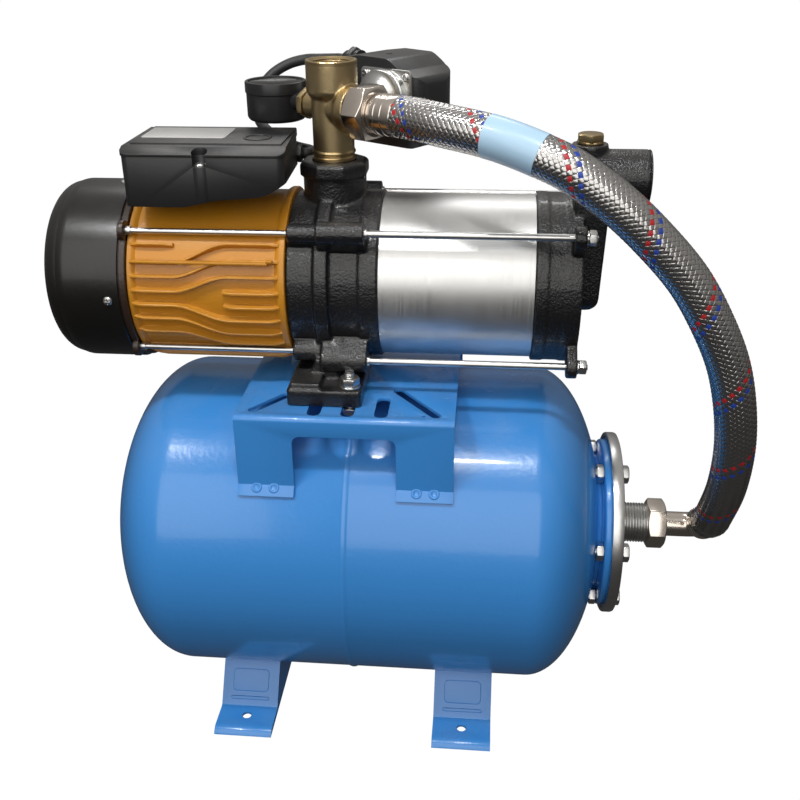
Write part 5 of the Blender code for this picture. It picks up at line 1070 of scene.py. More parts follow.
shapes.append(extruded(rounded(((-0.044, -0.083), (0.011, -0.083), (0.011, 0.083), (-0.044, 0.083)), 0.003),
                       "XY", PLATE_TOP + GAP, FOOT_TOP))
shapes += [block(-0.041, web, side * 0.067 - 0.014, side * 0.067 + 0.014, FOOT_TOP - 0.001,
                 FOOT_TOP + 0.0045) for side in (-1, 1)]
body = join(turned(profile, (0, 0, PUMP_Z), X_AXIS, 120, closed=True), *shapes)
bolt_holes = [rod((FOOT_BOLT[0], side * FOOT_BOLT[1], PLATE_TOP - 0.002), Z_AXIS, 0.020, 0.0043)
              for side in (-1, 1)]
port = rod((PORT_X, 0, PUMP_Z + CAVITY_R), Z_AXIS, 0.05, 0.0158, 64)
body = cast(cut(body, port, together(bolt_holes)), 0.0011, 3)
for vert in body.verts:
    vert.co.z = max(vert.co.z, PLATE_TOP + GAP)
piece("discharge_casting", body, PUMP_IRON, ["discharge_body"], sharp=None)
print("discharge casting: port %.0f mm above the floor" % (1000 * PORT_TOP))

# %% [markdown]
# ## Sleeve
#
# The stages sit in a drawn tube of bright steel. It is one turned ring with small chamfers, and its many
# sides keep the long reflections straight.

# %% Sleeve
profile = ((0.0219, 0.0594), (0.0219, 0.0606), (0.0222, 0.0609), (0.1331, 0.0609), (0.1334, 0.0606),
           (0.1334, 0.0594))
sleeve = turned(profile, (0, 0, PUMP_Z), X_AXIS, 192, closed=True)
piece("stage_sleeve", sleeve, BRIGHT_STEEL, ["pump_sleeve"], sharp=40)

# %% [markdown]
# ## Suction casting
#
# The right casting closes the stages. A ring, four lugs, a raised chamber, the inlet barrel and the
# filling boss are joined, cut and then remeshed like the first casting. The inlet's mouth is turned on
# its own, because its thread and its rim were machined.

# %% Suction casting
RING_LEFT = 0.1337
INLET_Z = 0.440
INLET_FACE = 0.2128
PLUG_X = 0.1695
BOSS_TOP = 0.464
profile = ((RING_LEFT, CAVITY_R), (RING_LEFT, 0.0632), (RING_LEFT + 0.0003, 0.0635), (0.1420, 0.0635),
           (0.1424, 0.0629), (0.1546, 0.0629), (0.1550, 0.0635), (LUG_RIGHT, 0.0635), (LUG_RIGHT, 0.0),
           (LUG_LEFT, 0.0), (LUG_LEFT, CAVITY_R))
ring = turned(profile, (0, 0, PUMP_Z), X_AXIS, 120, closed=True)
face = PLUG_X + 0.0131
side_view = rounded(((LUG_RIGHT - 0.006, PUMP_Z - 0.018), (face - 0.002, PUMP_Z - 0.018),
                     (face + 0.0018, INLET_Z + 0.012), (LUG_RIGHT - 0.006, INLET_Z + 0.012)),
                    (0, 0.012, 0.006, 0))
chamber = extruded(side_view, "XZ", -0.032, 0.032)
front_view = rounded(((-0.0318, PUMP_Z - 0.018), (0.0318, PUMP_Z - 0.018), (0.0318, INLET_Z + 0.012),
                      (-0.0318, INLET_Z + 0.012)), (0.012, 0.012, 0.011, 0.011))
chamber = boolean(chamber, [extruded(front_view, "YZ", LUG_RIGHT - 0.010, face + 0.010)], "INTERSECT")
shapes = [lug(LUG_LEFT, LUG_RIGHT, ROD_CIRCLE, angle, 0.0084, 0.0575) for angle in four(ROD_ANGLE)]
inlet = turned(((0, 0.0200), (INLET_FACE - LUG_RIGHT - 0.0015, 0.0200),
                (INLET_FACE - LUG_RIGHT - 0.0010, 0.0200)), (LUG_RIGHT, 0, INLET_Z), X_AXIS, 80)
boss = rod((PLUG_X, 0, INLET_Z), Z_AXIS, BOSS_TOP - INLET_Z, 0.0130, 64)
bridge = block(LUG_LEFT + 0.001, LUG_RIGHT - 0.001, -0.0256, 0.0256, PUMP_Z + 0.040, INLET_Z + 0.010)
body = join(ring, chamber, inlet, boss, bridge, *shapes)
bore = rod((PLUG_X - 0.006, 0, INLET_Z), X_AXIS, 0.060, 0.0152, 72)
filler = rod((PLUG_X, 0, INLET_Z), Z_AXIS, 0.030, 0.0078)
body = cast(cut(body, bore, filler), 0.0010, 3)
piece("suction_casting", body, PUMP_IRON, ["suction_body"], sharp=None)

# %% Inlet mouth
rim = [(-0.0012, 0.0196), (-0.0006, 0.0199), (0.0, 0.0196), (0.0, 0.0160)]
along = 0.0010
while along < 0.0240:
    rim += [(-along, 0.0152), (-along - 0.0010, 0.0140), (-along - 0.0014, 0.0140)]
    along += THREAD_PITCH
rim += [(-along, 0.0156), (-0.0020, 0.0156), (-0.0020, 0.0180)]
collar = turned(rim, (INLET_FACE, 0, INLET_Z), X_AXIS, FINE, closed=True)
piece("suction_mouth", collar, PUMP_IRON, sharp=20)

# %% [markdown]
# ## Filling plug
#
# The pump is filled through a brass plug with a hexagon, which stands on an eight-sided flange. Both are
# short turned bars with softened edges.

# %% Filling plug
flange = turned(((0, 0.0095), (0.0003, 0.0100), (0.0014, 0.0100), (0.0018, 0.0096)),
                (PLUG_X, 0, BOSS_TOP + GAP), Z_AXIS, 8, phase=0.5)
top = softened(hexagon((PLUG_X, 0, BOSS_TOP + 0.0010), Z_AXIS, 0.0062, 0.0172, 0.5), 0.0003)
stem = rod((PLUG_X, 0, BOSS_TOP - 0.010), Z_AXIS, 0.0105, 0.0074)
piece("filling_plug", together([softened(flange, 0.0003), top, stem]), VALVE_BRASS,
      ["priming_plug"])

# %% [markdown]
# ## Rods and foot bolts
#
# Tie rods clamp the stages between the castings, and thinner ones hold the motor. One rod with its nut is
# modelled with a short run of thread and then repeated at four angles. The foot bolts come up through the
# platform's slots.

# %% Tie rods
NUT = 0.0067


def threaded(start, axis, length, radius, pitch):
    """Return a bar with thread ridges along its whole length."""
    points = [(0, radius * 0.86)]
    place = pitch * 0.2
    while place < length - pitch:
        points += [(place, radius), (place + pitch * 0.3, radius), (place + pitch * 0.62, radius * 0.86)]
        place += pitch
    return turned(points + [(length, radius * 0.8)], start, axis, 20)


bar = rod((0.0038, 0, ROD_CIRCLE), X_AXIS, LUG_RIGHT - 0.0038, 0.0026, 20)
end = threaded((LUG_RIGHT - 0.001, 0, ROD_CIRCLE), X_AXIS, NUT + 0.0021, 0.0026, 0.0009)
nut = softened(hexagon((LUG_RIGHT + 0.0014, 0, ROD_CIRCLE), X_AXIS, NUT - 0.0011, 0.0098), 0.00022)
washer = turned(((0, 0.0026), (0, 0.0052), (0.0010, 0.0052), (0.0010, 0.0026)),
                (LUG_RIGHT + GAP, 0, ROD_CIRCLE), X_AXIS, 32, closed=True)
collar = rod((0.0137, 0, ROD_CIRCLE), X_AXIS, 0.0016, 0.0040, 24)
rods = repeated(together([bar, end, nut, washer, collar]),
                [((0, 0, PUMP_Z), 90 - angle) for angle in four(ROD_ANGLE)], ZINC_STEEL)
piece("pump_rod_set", rods, ZINC_STEEL,
      ["pump_tie_rod_%d" % (index + 1) for index in range(4)])

# %% Motor rods
bar = together([rod((-0.1632, 0, MOTOR_ROD_CIRCLE), X_AXIS, 0.1304, 0.0022, 20),
                rod((-0.1601, 0, MOTOR_ROD_CIRCLE), X_AXIS, 0.0036, 0.0034)])
rods = repeated(bar, [((0, 0, PUMP_Z), 90 - angle) for angle in four(MOTOR_ROD_ANGLE)], ZINC_STEEL)
piece("motor_rod_set", rods, ZINC_STEEL,
      ["motor_tie_rod_%d" % (index + 1) for index in range(4)])

# %% Foot bolts
under = PLATE_TOP - SHEET - GAP
for name, side in (("front", -1), ("rear", 1)):
    place = Vector((FOOT_BOLT[0], side * FOOT_BOLT[1], 0))
    head = softened(hexagon(place + Z_AXIS * (under - 0.0053), Z_AXIS, 0.0053, 0.013), 0.00025)
    stud = threaded(place + Z_AXIS * (under - 0.0005), Z_AXIS, FOOT_TOP - under + 0.0134, 0.0038, 0.00125)
    washer = turned(((0, 0.0039), (0, 0.0076), (0.0002, 0.0078), (0.0014, 0.0078), (0.0016, 0.0076),
                     (0.0016, 0.0039)), place + Z_AXIS * (FOOT_TOP + GAP), Z_AXIS, 48, closed=True)
    nut = softened(hexagon(place + Z_AXIS * (FOOT_TOP + 0.0019), Z_AXIS, 0.0063, 0.013), 0.00025)
    piece("foot_fixing_" + name, together([head, stud, washer, nut]), ZINC_STEEL,
          ["foot_bolt_" + name])

# %% [markdown]
# ## Motor
#
# The amber frame is a tube with long ribs that swing to a new angle half way along, which gives its wavy
# look. The tube's ground is turned a little deeper between two raised end rims. Each rib is swept along
# its swing as a bar with a round top, and its ends run down to the ground. The saddle under the terminal
# box has a wavy upper edge with a ledge below it, and a short drain stub sticks out at the bottom.

# %% Motor frame
FRAME_LEFT = -0.160
FRAME_RIGHT = -0.0446
FRAME_R = 0.0645
BORE_R = 0.0583
RIB_LEFT = -0.1575
RIB_RIGHT = -0.0490
SWING = (-0.127, -0.085)
RIBS = ((22.6, 34.8, RIB_LEFT, RIB_RIGHT), (13.4, 24.0, RIB_LEFT, RIB_RIGHT),
        (4.2, 13.9, RIB_LEFT, RIB_RIGHT), (-5.1, -15.7, RIB_LEFT, RIB_RIGHT),
        (-14.7, -26.3, RIB_LEFT, RIB_RIGHT), (-25.4, -36.8, RIB_LEFT, RIB_RIGHT),
        (34.0, 34.0, RIB_LEFT, -0.1260), (3.6, 3.6, -0.0900, RIB_RIGHT), (-5.9, -5.9, -0.0900, RIB_RIGHT))
WAVE = ((-0.170, 0.4290), (-0.111, 0.4290), (-0.094, 0.4337), (-0.055, 0.4370), (-0.037, 0.4480),
        (-0.030, 0.4520))
WAVE_STEPS = 56
RIB_STEPS = 40
SECTION = ((-0.0017, -0.0030), (0.0017, -0.0030), (0.0014, -0.0010), (0.0012, 0.0010), (0.0010, 0.0021),
           (0.0005, 0.0026), (-0.0005, 0.0026), (-0.0010, 0.0021), (-0.0012, 0.0010), (-0.0014, -0.0010))
LOW_RIBS = ((-47.0, -47.0), (-58.0, -58.0), (-69.0, -69.0), (-80.0, -80.0))


def rib_height(high, end):
    """Return a rib's height near its end, where only what lies above the ground runs down."""
    return high if high < 0 else high * end ** 0.6


def wavy_rib(first, last, x0, x1, side):
    """Sweep a rib's section along its swing from one angle to another."""
    mesh = bmesh.new()
    rings = []
    for step in range(RIB_STEPS + 1):
        x = x0 + (x1 - x0) * step / RIB_STEPS
        blend = min(1.0, max(0.0, (x - SWING[0]) / (SWING[1] - SWING[0])))
        degrees = first + (last - first) * (1 - math.cos(math.pi * blend)) / 2
        end = min(1.0, (min(x - x0, x1 - x) + 0.0004) / 0.0080)
        low = around(x, FRAME_R, degrees if side < 0 else 180 - degrees)
        outward = (low - Vector((x, 0, PUMP_Z))).normalized()
        across = X_AXIS.cross(outward).normalized()
        rings.append([mesh.verts.new(low + across * wide + outward * rib_height(high, end))
                      for wide, high in SECTION])
    for before, after in zip(rings, rings[1:]):
        for step in range(len(SECTION)):
            following = (step + 1) % len(SECTION)
            mesh.faces.new((before[step], before[following], after[following], after[step]))
    mesh.faces.new(rings[0])
    mesh.faces.new(rings[-1])
    bmesh.ops.recalc_face_normals(mesh, faces=mesh.faces)
    return mesh


print("ribs on each side:", len(RIBS) + len(LOW_RIBS))

# %% Frame tube and saddle
GROOVE_R = 0.0621
tube = turned(((FRAME_LEFT, BORE_R), (FRAME_LEFT, FRAME_R - 0.0006), (FRAME_LEFT + 0.0006, FRAME_R),
               (FRAME_LEFT + 0.0028, FRAME_R), (FRAME_LEFT + 0.0042, FRAME_R - 0.0008),
               (FRAME_LEFT + 0.0060, GROOVE_R), (FRAME_RIGHT - 0.0075, GROOVE_R),
               (FRAME_RIGHT - 0.0055, FRAME_R - 0.0008), (FRAME_RIGHT - 0.0040, FRAME_R),
               (FRAME_RIGHT - 0.0006, FRAME_R), (FRAME_RIGHT, FRAME_R - 0.0006), (FRAME_RIGHT, BORE_R)),
              (0, 0, PUMP_Z), X_AXIS, 144, closed=True)
stub = turned(((-0.0010, 0.0042), (0.0062, 0.0042), (0.0068, 0.0036), (0.0068, 0.0)),
              (-0.1105, 0, PUMP_Z - 0.0640), -Z_AXIS, 32)
saddle = extruded(((-0.0600, 0.4160), (-0.0444, 0.4125), (-0.0300, PUMP_Z + BORE_R - 0.010),
                   (0.0132, PUMP_Z + BORE_R - 0.002), (0.0220, 0.4160), (0.0220, 0.464), (-0.0600, 0.464)),
                  "YZ", -0.157, FRAME_RIGHT)
wave = []
for step in range(WAVE_STEPS + 1):
    x = WAVE[0][0] + (WAVE[-1][0] - WAVE[0][0]) * step / WAVE_STEPS
    total = 0.0
    for shift in range(-4, 5):
        sample = min(max(x + shift * 0.0016, WAVE[0][0]), WAVE[-1][0])
        index = max(i for i in range(len(WAVE) - 1) if WAVE[i][0] <= sample)
        (x0, z0), (x1, z1) = WAVE[index], WAVE[index + 1]
        total += z0 + (z1 - z0) * (sample - x0) / (x1 - x0)
    wave.append((x, total / 9))
above = extruded(wave + [(wave[-1][0], 0.474), (wave[0][0], 0.474)], "XZ", -0.070, 0.032)
seat = softened(cut(saddle, above), 0.0009, 3)
bore = rod((FRAME_LEFT - 0.001, 0, PUMP_Z), X_AXIS, FRAME_RIGHT - FRAME_LEFT + 0.002, BORE_R, 144)
seat = cut(seat, bore)
print("ground between the ribs: %.1f mm below the rims" % (1000 * (FRAME_R - GROOVE_R)))

# %% Ribs and ledges
every_rib = RIBS + tuple((first, last, RIB_LEFT, RIB_RIGHT) for first, last in LOW_RIBS)
ribs = together([wavy_rib(*rib, side) for rib in every_rib for side in (-1, 1)])
ledge = []
for side in (-1, 1):
    for x0, x1, rise in ((-0.1560, -0.0560, 0.0), (-0.0570, -0.0520, 0.0018)):
        bar_shape = block(x0, x1, -0.0020, 0.0020, -0.0011, 0.0011)
        moved(bar_shape, (0, side * 0.0625, PUMP_Z + 0.0262 + rise))
        ledge.append(softened(bar_shape, 0.0008, 2))
piece("ribbed_frame", together([tube, ribs, seat] + ledge), MOTOR_PAINT, ["motor_frame"])
piece("drain_stub", stub, BOX_PLASTIC)
print("motor ribs:", 2 * len(every_rib))

# %% [markdown]
# ## End shield
#
# A brown-black casting closes the motor's rear and holds its bearing. It is a turned plate with four
# lugs, and each lug carries the round end of a rod.

# %% End shield
SHIELD_LEFT = -0.165
SHIELD_RIGHT = -0.1603
profile = ((SHIELD_RIGHT, BORE_R), (SHIELD_RIGHT, 0.0666), (-0.1607, 0.0670), (-0.1646, 0.0670),
           (SHIELD_LEFT, 0.0666), (-0.1720, 0.0666), (-0.1720, 0.0626), (-0.1690, 0.0626),
           (-0.1690, 0.0235), (-0.1745, 0.0235), (-0.1745, 0.0084), (-0.1716, 0.0084), (-0.1716, 0.0178),
           (SHIELD_RIGHT, 0.0178), (SHIELD_RIGHT, 0.0235), (-0.1633, 0.0235), (-0.1633, BORE_R))
plate = turned(profile, (0, 0, PUMP_Z), X_AXIS, 120, closed=True)
lugs = [softened(lug(SHIELD_LEFT, SHIELD_RIGHT, MOTOR_ROD_CIRCLE, angle, 0.0075, 0.059), 0.0008, 3)
        for angle in four(MOTOR_ROD_ANGLE)]
caps = [turned(((0, 0.0040), (0.0003, 0.0043), (0.0009, 0.0040), (0.0010, 0.0)),
               around(SHIELD_LEFT + 0.0008, MOTOR_ROD_CIRCLE, angle), -X_AXIS, 24)
        for angle in four(MOTOR_ROD_ANGLE)]
piece("end_shield", together([plate] + lugs + caps), SHIELD_IRON, ["rear_end_shield"])

# %% [markdown]
# ## Fan cover
#
# The fan cover is a pressed bowl with a generous round and 16 radial slots. Outside and inside are one
# turned profile, one slot is copied 16 times, and a Boolean cuts them all at once. Four pan-head screws
# with crossed slots hold it.

# %% Fan cover
COVER_LEFT = -0.2265
CORNER = 0.016
WALL = 0.0016
COVER_R = 0.0685
outside = [(COVER_LEFT, 0.0)] + rounded(((COVER_LEFT, 0.0), (COVER_LEFT, 0.0525),
                                         (COVER_LEFT + 0.0150, COVER_R), (COVER_LEFT + 0.05, COVER_R)),
                                        (0, 0.0100, 0.0150, 0), 8)[1:-1]
outside += [(-0.1670, COVER_R), (-0.1662, COVER_R), (-0.1657, COVER_R - 0.0003)]
inside = [(-0.1657, COVER_R - WALL)]
inside += [(COVER_LEFT + WALL + (CORNER - WALL) * (1 - math.cos(math.radians(angle))),
            COVER_R - WALL - (CORNER - WALL) * (1 - math.sin(math.radians(angle))))
           for angle in range(90, -1, -10)]
cover = turned(outside + inside + [(COVER_LEFT + WALL, 0.0)], (0, 0, PUMP_Z), X_AXIS, 144)
bar = extruded(slot((0, 0.0225), (0, COVER_R - CORNER - 0.0045), 0.0050), "YZ", COVER_LEFT - 0.001,
               COVER_LEFT + WALL + 0.001)
slots = repeated(bar, [((0, 0, PUMP_Z), 22.5 * index) for index in range(16)], COVER_PAINT)
cover = cut(cover, slots)
piece("fan_hood", cover, COVER_PAINT, ["fan_cover"])

# %% Cover screws
head = turned(((-0.0010, 0.0034), (0.0006, 0.0034), (0.0014, 0.0028), (0.0018, 0.0016), (0.0019, 0.0)),
              (-0.1740, 0, COVER_R - 0.0001), Z_AXIS, 32)
cross = join(block(-0.1762, -0.1718, -0.0004, 0.0004, COVER_R + 0.0008, COVER_R + 0.003),
             block(-0.1744, -0.1736, -0.0022, 0.0022, COVER_R + 0.0008, COVER_R + 0.003))
heads = repeated(cut(head, cross), [((0, 0, PUMP_Z), 90 - degrees) for degrees in (-2, 88, 178, 268)],
                 ZINC_STEEL)
piece("hood_screws", heads, ZINC_STEEL)
print("fan cover: 16 slots, 4 screws")

# %% [markdown]
# ## Terminal box
#
# The black box follows the saddle's wavy edge below and carries a lid with long chamfers. A screw sits
# deep in a pocket at the front, and the lid has a raised ring and a grey rating plate, which stays bare.

# %% Terminal box
BOX_FRONT = -0.060
BOX_BACK = 0.022
BOX = ((-0.155, BOX_FRONT), (-0.040, BOX_FRONT), (-0.046, BOX_BACK), (-0.155, BOX_BACK))
BOX_TOP = 0.464
LID_TOP = BOX_TOP + 0.0068


def box_shape(inset, low, high):
    """Return a block with the box's tapered plan, smaller by an inset."""
    plan = [(x + (inset if x < -0.1 else -inset), y + (inset if y < 0 else -inset)) for x, y in BOX]
    return extruded(rounded(plan, 0.006 - 0.6 * inset), "XY", low, high)


shell = cut(box_shape(0, 0.427, BOX_TOP), box_shape(0.004, 0.4535, BOX_TOP + 0.002))
under_side = extruded([(x, z + GAP) for x, z in wave] + [(wave[-1][0], 0.417), (wave[0][0], 0.417)], "XZ",
                      -0.070, 0.032)
SCREW = (-0.099, -0.0540)
shell = join(shell, rod((SCREW[0], SCREW[1], 0.4270), Z_AXIS, BOX_TOP - 0.4270, 0.0075, 48))
pocket = rod((SCREW[0], SCREW[1] - 0.0030, BOX_TOP - 0.0065), Z_AXIS, 0.020, 0.0056, 48)
shell = softened(cut(shell, under_side, pocket), 0.0006, 2)
gland = Vector((-0.0420, 0.0190, 0.4505))
socket = turned(((-0.0100, 0.0052), (-0.0002, 0.0052), (0.0, 0.0047)), gland, X_AXIS, 40)
grip = softened(hexagon(gland - X_AXIS * 0.0035, X_AXIS, 0.0032, 0.0120, 0.5, 0.0005), 0.0002)
piece("connection_box", together([shell, socket, grip]), BOX_PLASTIC, ["terminal_box"])

# %% Box lid
lid = box_shape(-0.0006, BOX_TOP + GAP, LID_TOP)
slopes = [extruded(((edge + side * 0.004, BOX_TOP + 0.0015), (edge + side * 0.004, LID_TOP + 0.002),
                    (edge - side * inward, LID_TOP + 0.002), (edge - side * inward, LID_TOP),
                    (edge, BOX_TOP + 0.0021)), "YZ", -0.165, -0.030)
          for side, edge, inward in ((-1, BOX_FRONT, 0.013), (1, BOX_BACK, 0.0078))]
step_edge = block(-0.151, -0.0445, -0.0455, 0.0125, LID_TOP - 0.0022, LID_TOP)
top_cut = cut(block(-0.165, -0.030, -0.070, 0.032, LID_TOP - 0.0012, LID_TOP + 0.002), step_edge)
notch = rod((SCREW[0], SCREW[1] - 0.0030, BOX_TOP - 0.002), Z_AXIS, 0.020, 0.0056, 48)
lid = softened(cut(lid, *slopes, top_cut, notch), 0.0005, 2)
screw = turned(((0, 0.0042), (0.0012, 0.0042), (0.0022, 0.0032), (0.0027, 0.0)),
               (SCREW[0], SCREW[1] - 0.0030, BOX_TOP - 0.0066), Z_AXIS, 32)
slot_cut = block(SCREW[0] - 0.005, SCREW[0] + 0.005, SCREW[1] - 0.0034, SCREW[1] - 0.0026, BOX_TOP - 0.0050,
                 BOX_TOP)
piece("lid_screw", cut(screw, slot_cut), ZINC_STEEL)
ring = turned(((-0.0006, 0.0100), (0.0004, 0.0100), (0.0008, 0.0096), (0.0008, 0.0084), (0.0004, 0.0080),
               (-0.0006, 0.0080)), (-0.065, -0.026, LID_TOP), Z_AXIS, 56, closed=True)
piece("box_lid", together([lid, ring]), BOX_PLASTIC, ["terminal_lid"])
plan = rounded(((-0.149, -0.029), (-0.088, -0.029), (-0.088, 0.006), (-0.149, 0.006)), 0.002)
piece("bare_plate", softened(extruded(plan, "XY", LID_TOP - 0.0002, LID_TOP + 0.0005), 0.00015), PLATE_GREY)

# %% [markdown]
# ## Five-way fitting
#
# The fitting is one brass casting with its ports at five sides. Its arm points to the front right, the
# gauge's port is opposite, and the switch's port looks back. The casting is remeshed softly, while the
# rims and the thread are turned, because they were cut on a lathe.

# %% Five-way fitting
ARM_TURN = math.radians(35)
ARM = Vector((math.cos(ARM_TURN), -math.sin(ARM_TURN), 0))
REAR = Vector((math.sin(ARM_TURN), math.cos(ARM_TURN), 0))
ARM_Z = 0.488
FITTING_TOP = 0.5206
NECK = FITTING_TOP - 0.022


def beside(along_arm, along_rear, z):
    """Return a point by its distances from the fitting's axis along the arm and towards the switch."""
    return Vector((PORT_X, 0, z)) + ARM * along_arm + REAR * along_rear


centre = beside(0, 0, ARM_Z)
stem = turned(((PORT_TOP - 0.0150, 0.0146), (PORT_TOP + 0.0080, 0.0150), (NECK - 0.0045, 0.0150),
               (NECK - 0.0030, 0.0160), (NECK - 0.0010, 0.0176), (NECK + 0.0010, 0.0183),
               (FITTING_TOP - 0.0022, 0.0183)), Vector((PORT_X, 0, 0)), Z_AXIS, 96)
arm = turned(((0, 0.0140), (0.0115, 0.0140), (0.0140, 0.0152), (0.0165, 0.0168), (0.0185, 0.0171),
              (0.0236, 0.0171)), centre, ARM, 96)
gauge_boss = turned(((0, 0.0100), (0.0205, 0.0100), (0.0216, 0.0094)), centre, -ARM, 64)
switch_boss = turned(((0, 0.0108), (0.0190, 0.0108), (0.0198, 0.0100)), centre, REAR, 64)
body = join(stem, arm, gauge_boss, switch_boss)
body = cut(body, rod(beside(0, 0, NECK - 0.004), Z_AXIS, 0.030, 0.0143, 80),
           rod(beside(0, 0, PORT_TOP - 0.020), Z_AXIS, NECK - PORT_TOP + 0.020, 0.0112, 64),
           rod(centre, ARM, 0.030, 0.0100, 64))
piece("brass_fitting", cast(body, 0.00062, 3), FITTING_BRASS, ["five_way_fitting"],
      sharp=None)

# %% Fitting rims
rim = [(-0.0030, 0.0184), (-0.0006, 0.0184), (0.0, 0.0180), (0.0, 0.0160), (-0.0010, 0.0150)]
along = 0.0016
while along < 0.0150:
    rim += [(-along, 0.0142), (-along - 0.0009, 0.0153), (-along - 0.0013, 0.0153)]
    along += THREAD_PITCH
rim += [(-along, 0.0156), (-0.0030, 0.0156)]
collar = turned(rim, beside(0, 0, FITTING_TOP), Z_AXIS, 96, closed=True)
rings = [(0.0004, 0.0140), (0.0004, 0.0156), (0.0008, 0.0161), (0.0022, 0.0161), (0.0026, 0.0152),
         (0.0032, 0.0149), (0.0040, 0.0149), (0.0046, 0.0153), (0.0056, 0.0159), (0.0062, 0.0159),
         (0.0074, 0.0153), (0.0082, 0.0140)]
bead = turned(rings, beside(0, 0, PORT_TOP), Z_AXIS, 96, closed=True)
piece("fitting_rims", together([collar, bead]), VALVE_BRASS, sharp=25)

# %% [markdown]
# ## Gauge
#
# The gauge lies face up on a short stem. Its dial carries a scale of eleven long strokes with shorter
# ones between, and plain numbers. The needle belongs to the moving body, so it stays a piece of its own.

# %% Gauge
GAUGE_TOP = 0.5015
GAUGE_BOTTOM = 0.473
gauge = beside(-0.0582, 0, 0)
seat = GAUGE_TOP - 0.005
profile = ((GAUGE_BOTTOM, 0.0), (GAUGE_BOTTOM, 0.0190), (GAUGE_BOTTOM + 0.0005, 0.0204),
           (GAUGE_BOTTOM + 0.0018, 0.0216), (GAUGE_BOTTOM + 0.0032, 0.0222), (0.4926, 0.0222),
           (0.4930, 0.0225), (0.4936, 0.0229), (0.5005, 0.0229), (0.5011, 0.0227), (0.5014, 0.0222),
           (0.5014, 0.0209), (0.5010, 0.0204), (seat, 0.0204), (seat, 0.0007), (seat + 0.0014, 0.0007),
           (seat + 0.0014, 0.0))
case = turned(profile, gauge, Z_AXIS, 96)
stem = rod(beside(-0.0223, 0, ARM_Z), -ARM, 0.0150, 0.0064, 40)
piece("gauge_housing", together([case, stem]), GAUGE_PLASTIC, ["gauge_case"], sharp=30)
nut = softened(hexagon(beside(-0.0224, 0, ARM_Z), -ARM, 0.0052, 0.0192), 0.0003)
piece("gauge_nut", nut, VALVE_BRASS)

# %% Dial and scale
dial = turned(((seat - 0.0001, 0.0010), (seat + 0.0001, 0.0010), (seat + 0.0001, 0.0202),
               (seat - 0.0001, 0.0202)), gauge, Z_AXIS, 96, closed=True)
piece("gauge_dial", dial, DIAL_WHITE)
marks = []
ZERO = -45
SWEEP = 270
STROKES = 50
for step in range(STROKES + 1):
    degrees = math.radians(ZERO - SWEEP * step / STROKES)
    long_mark = step % 5 == 0
    mark = block(0.0150 if long_mark else 0.0165, 0.0185, -0.00022 if long_mark else -0.0001,
                 0.00022 if long_mark else 0.0001, seat + 0.00005, seat + 0.00014)
    swung(mark, degrees, "Z")
    marks.append(mark)
for number in range(0, 11, 2):
    letters = bpy.data.curves.new("number", "FONT")
    letters.body = str(number)
    letters.size = 0.0042
    letters.extrude = 0.00004
    letters.align_x = "CENTER"
    letters.align_y = "CENTER"
    holder = bpy.data.objects.new("number", letters)
    bpy.context.scene.collection.objects.link(holder)
    flat = bpy.data.meshes.new_from_object(holder.evaluated_get(bpy.context.evaluated_depsgraph_get()))
    bpy.data.objects.remove(holder, do_unlink=True)
    figure = bmesh.new()
    figure.from_mesh(flat)
    bpy.data.meshes.remove(flat)
    degrees = math.radians(ZERO - SWEEP * number / 10)
    swung(figure, math.radians(90), "Z")
    moved(figure, (0.0122 * math.cos(degrees), 0.0122 * math.sin(degrees), seat + 0.00010))
    marks.append(figure)
scale = together(marks)
moved(scale, gauge)
piece("gauge_scale", scale, INK_BLACK, sharp=None)

# %% Needle and window
hub = turned(((seat + 0.0003, 0.0010), (seat + 0.0003, 0.0025), (seat + 0.0010, 0.0025),
              (seat + 0.0013, 0.0021), (seat + 0.0013, 0.0010)), (0, 0, 0), Z_AXIS, 40, closed=True)
pointer = extruded(((0.0015, -0.0008), (0.0155, -0.00018), (0.0160, 0.0), (0.0155, 0.00018),
                    (0.0015, 0.0008)), "XY", seat + 0.0006, seat + 0.0011)
tail = extruded(((-0.0015, -0.0008), (-0.0015, 0.0008), (-0.0058, 0.0013), (-0.0058, -0.0013)), "XY",
                seat + 0.0006, seat + 0.0011)
needle = together([hub, pointer, tail])
swung(needle, math.radians(ZERO), "Z")
moved(needle, gauge)
piece("dial_needle", needle, NEEDLE_PAINT, ["gauge_needle"], body="needle")
lens = turned(((0.4995, 0.0), (0.4995, 0.0201), (0.5004, 0.0201), (0.5009, 0.0192), (0.5009, 0.0)), gauge,
              Z_AXIS, 96)
piece("gauge_window", lens, GAUGE_GLASS, ["gauge_lens"])

# %% [markdown]
# ## Pressure switch
#
# A zinc-plated flange with a pressed cup sits on the fitting's rear port, behind a hexagon. Two screw
# posts stand on its plate. The black cover behind it has a crowned top that steps down at the right, and
# a round gland for the cable at the left.

# %% Pressure switch


def to_switch(mesh):
    """Move a shape made with X along the arm and Y towards the back onto the switch's port."""
    turn = Matrix((ARM, REAR, Z_AXIS)).transposed()
    bmesh.ops.rotate(mesh, verts=mesh.verts, cent=(0, 0, 0), matrix=turn)
    moved(mesh, beside(0, 0, ARM_Z))
    return mesh


